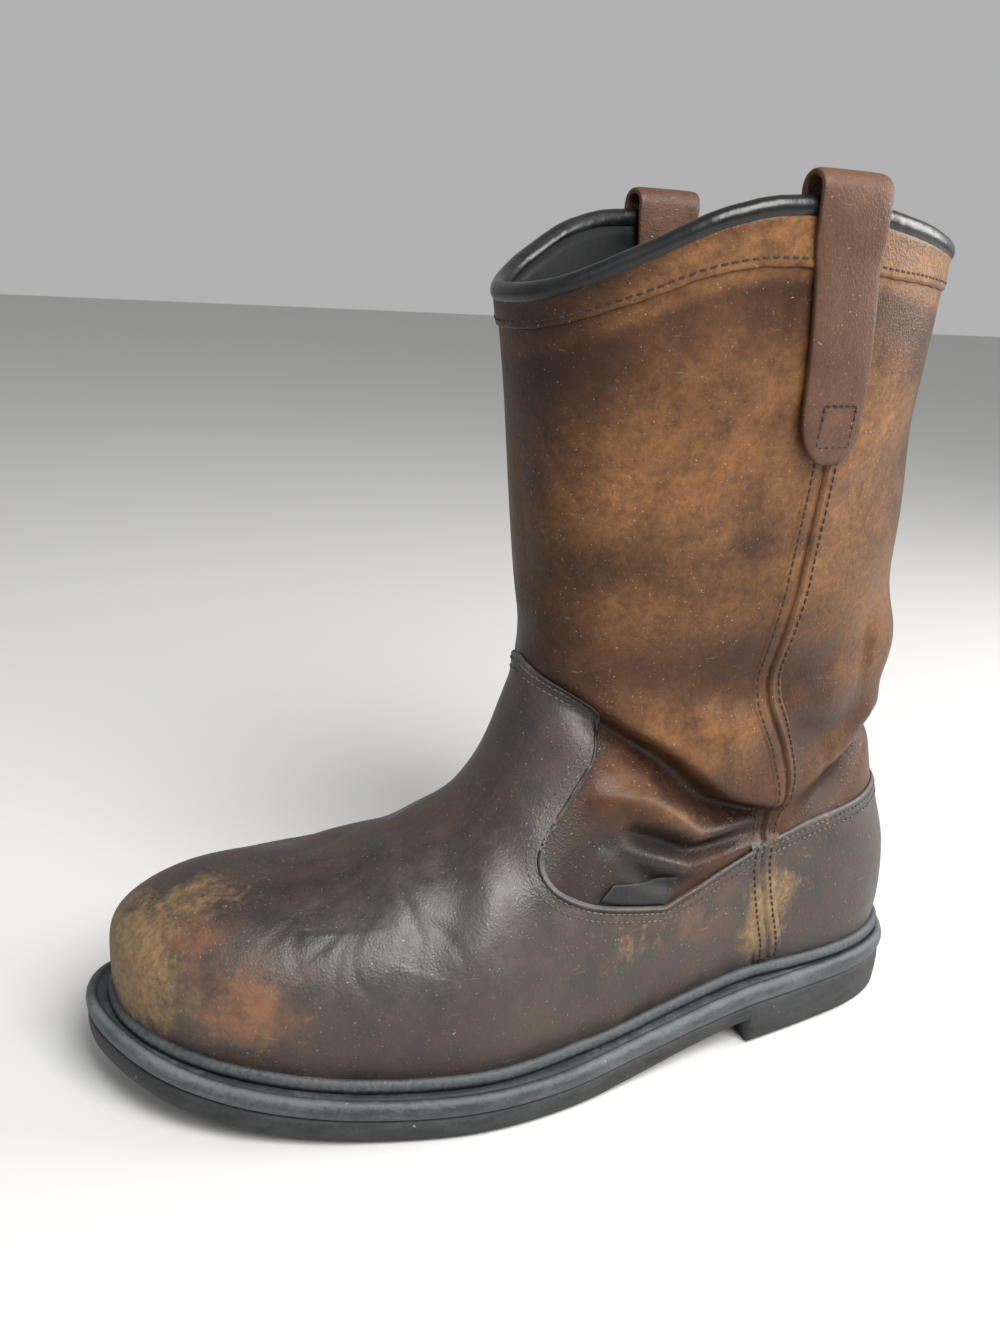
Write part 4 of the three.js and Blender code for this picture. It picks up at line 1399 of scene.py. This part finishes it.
def stand(item, place, right, up, back):
    """Places a light or the camera, which look against back."""
    item.matrix_world = Matrix([*zip(right, up, back, place), (0, 0, 0, 1)])


class BOOT_OT_stage(bpy.types.Operator):
    """Pale floor, soft studio light and the camera"""
    bl_idname = "boot.stage"
    bl_label = "Stage"

    # Name, place, size, power in watts, colour
    LIGHTS = (("key", (-0.18, 0.85, 1.10), 0.80, 33, (1.0, 0.985, 0.96)),
              ("front_fill", (1.1, 0.45, 0.60), 0.9, 2.2, (0.94, 0.97, 1.0)),
              ("back_rim", (-0.95, 0.15, 0.50), 0.5, 9, (1.0, 0.98, 0.95)))
    LIT = np.array([-0.02, 0.0, 0.12])

    def execute(self, context):
        deselect()
        bpy.ops.mesh.primitive_plane_add(size=8)
        floor = context.active_object
        floor.name = "studio_floor"
        tone = bpy.data.materials.new("studio_floor")
        tone.use_nodes = True
        shader = tone.node_tree.nodes["Principled BSDF"]
        shader.inputs["Base Color"].default_value = (0.56, 0.56, 0.555, 1)
        shader.inputs["Roughness"].default_value = 0.7
        floor.data.materials.append(tone)
        self.lights(context.scene)
        self.camera(context.scene)
        return {"FINISHED"}

    def lights(self, scene):
        for name, place, size, power, tone in self.LIGHTS:
            lamp = bpy.data.lights.new(name, "AREA")
            lamp.size = size
            lamp.energy = power
            lamp.color = tone
            back = unit(np.array(place) - self.LIT)
            right = unit(np.cross([0, 0, 1], back))
            stand(new_object(name, lamp), place, right, np.cross(back, right), back)
        scene.world = bpy.data.worlds.new("studio")
        scene.world.use_nodes = True
        sky = scene.world.node_tree.nodes["Background"]
        sky.inputs["Color"].default_value = (1, 1, 1, 1)
        sky.inputs["Strength"].default_value = 0.44

    @staticmethod
    def camera(scene):
        place = np.array([188.0, 392.0, 283.7]) * MM
        yaw, pitch, roll = np.radians([-113.16, 18.34, 3.96])
        ahead = np.array([np.cos(yaw) * np.cos(pitch), np.sin(yaw) * np.cos(pitch),
                          -np.sin(pitch)])
        right = unit(np.cross(ahead, [0, 0, 1]))
        up = np.cross(right, ahead)
        data = bpy.data.cameras.new("camera")
        data.sensor_fit = "HORIZONTAL"
        data.sensor_width = 36.0
        data.lens = 47.11
        data.clip_start = 0.01
        scene.camera = new_object("camera", data)
        stand(scene.camera, place, np.cos(roll) * right + np.sin(roll) * up,
              np.cos(roll) * up - np.sin(roll) * right, -ahead)
        scene.view_settings.view_transform = "Standard"


OPERATORS = (BOOT_OT_stage, BOOT_OT_sole, BOOT_OT_upper, BOOT_OT_panels, BOOT_OT_side_seams,
             BOOT_OT_stitching, BOOT_OT_collar, BOOT_OT_straps, BOOT_OT_tab)


class BOOT_PT_panel(bpy.types.Panel):
    """Lists the boot's pieces"""
    bl_label = "Work boot"
    bl_idname = "BOOT_PT_panel"
    bl_space_type = "VIEW_3D"
    bl_region_type = "UI"
    bl_category = "Work boot"

    def draw(self, context):
        for operator in OPERATORS:
            self.layout.operator(operator.bl_idname)


CLASSES = (BootSizes, BootColours, *OPERATORS, BOOT_PT_panel)


def register():
    for item in CLASSES:
        bpy.utils.register_class(item)
    bpy.types.Scene.boot_sizes = PointerProperty(type=BootSizes)
    bpy.types.Scene.boot_colours = PointerProperty(type=BootColours)


def unregister():
    del bpy.types.Scene.boot_colours
    del bpy.types.Scene.boot_sizes
    for item in reversed(CLASSES):
        bpy.utils.unregister_class(item)


def main():
    register()
    bpy.ops.boot.stage()
    bpy.ops.boot.sole()
    bpy.ops.boot.upper()
    bpy.ops.boot.panels()
    bpy.ops.boot.side_seams()
    bpy.ops.boot.stitching()
    bpy.ops.boot.collar()
    bpy.ops.boot.straps()
    bpy.ops.boot.tab()


if __name__ == "__main__":
    main()
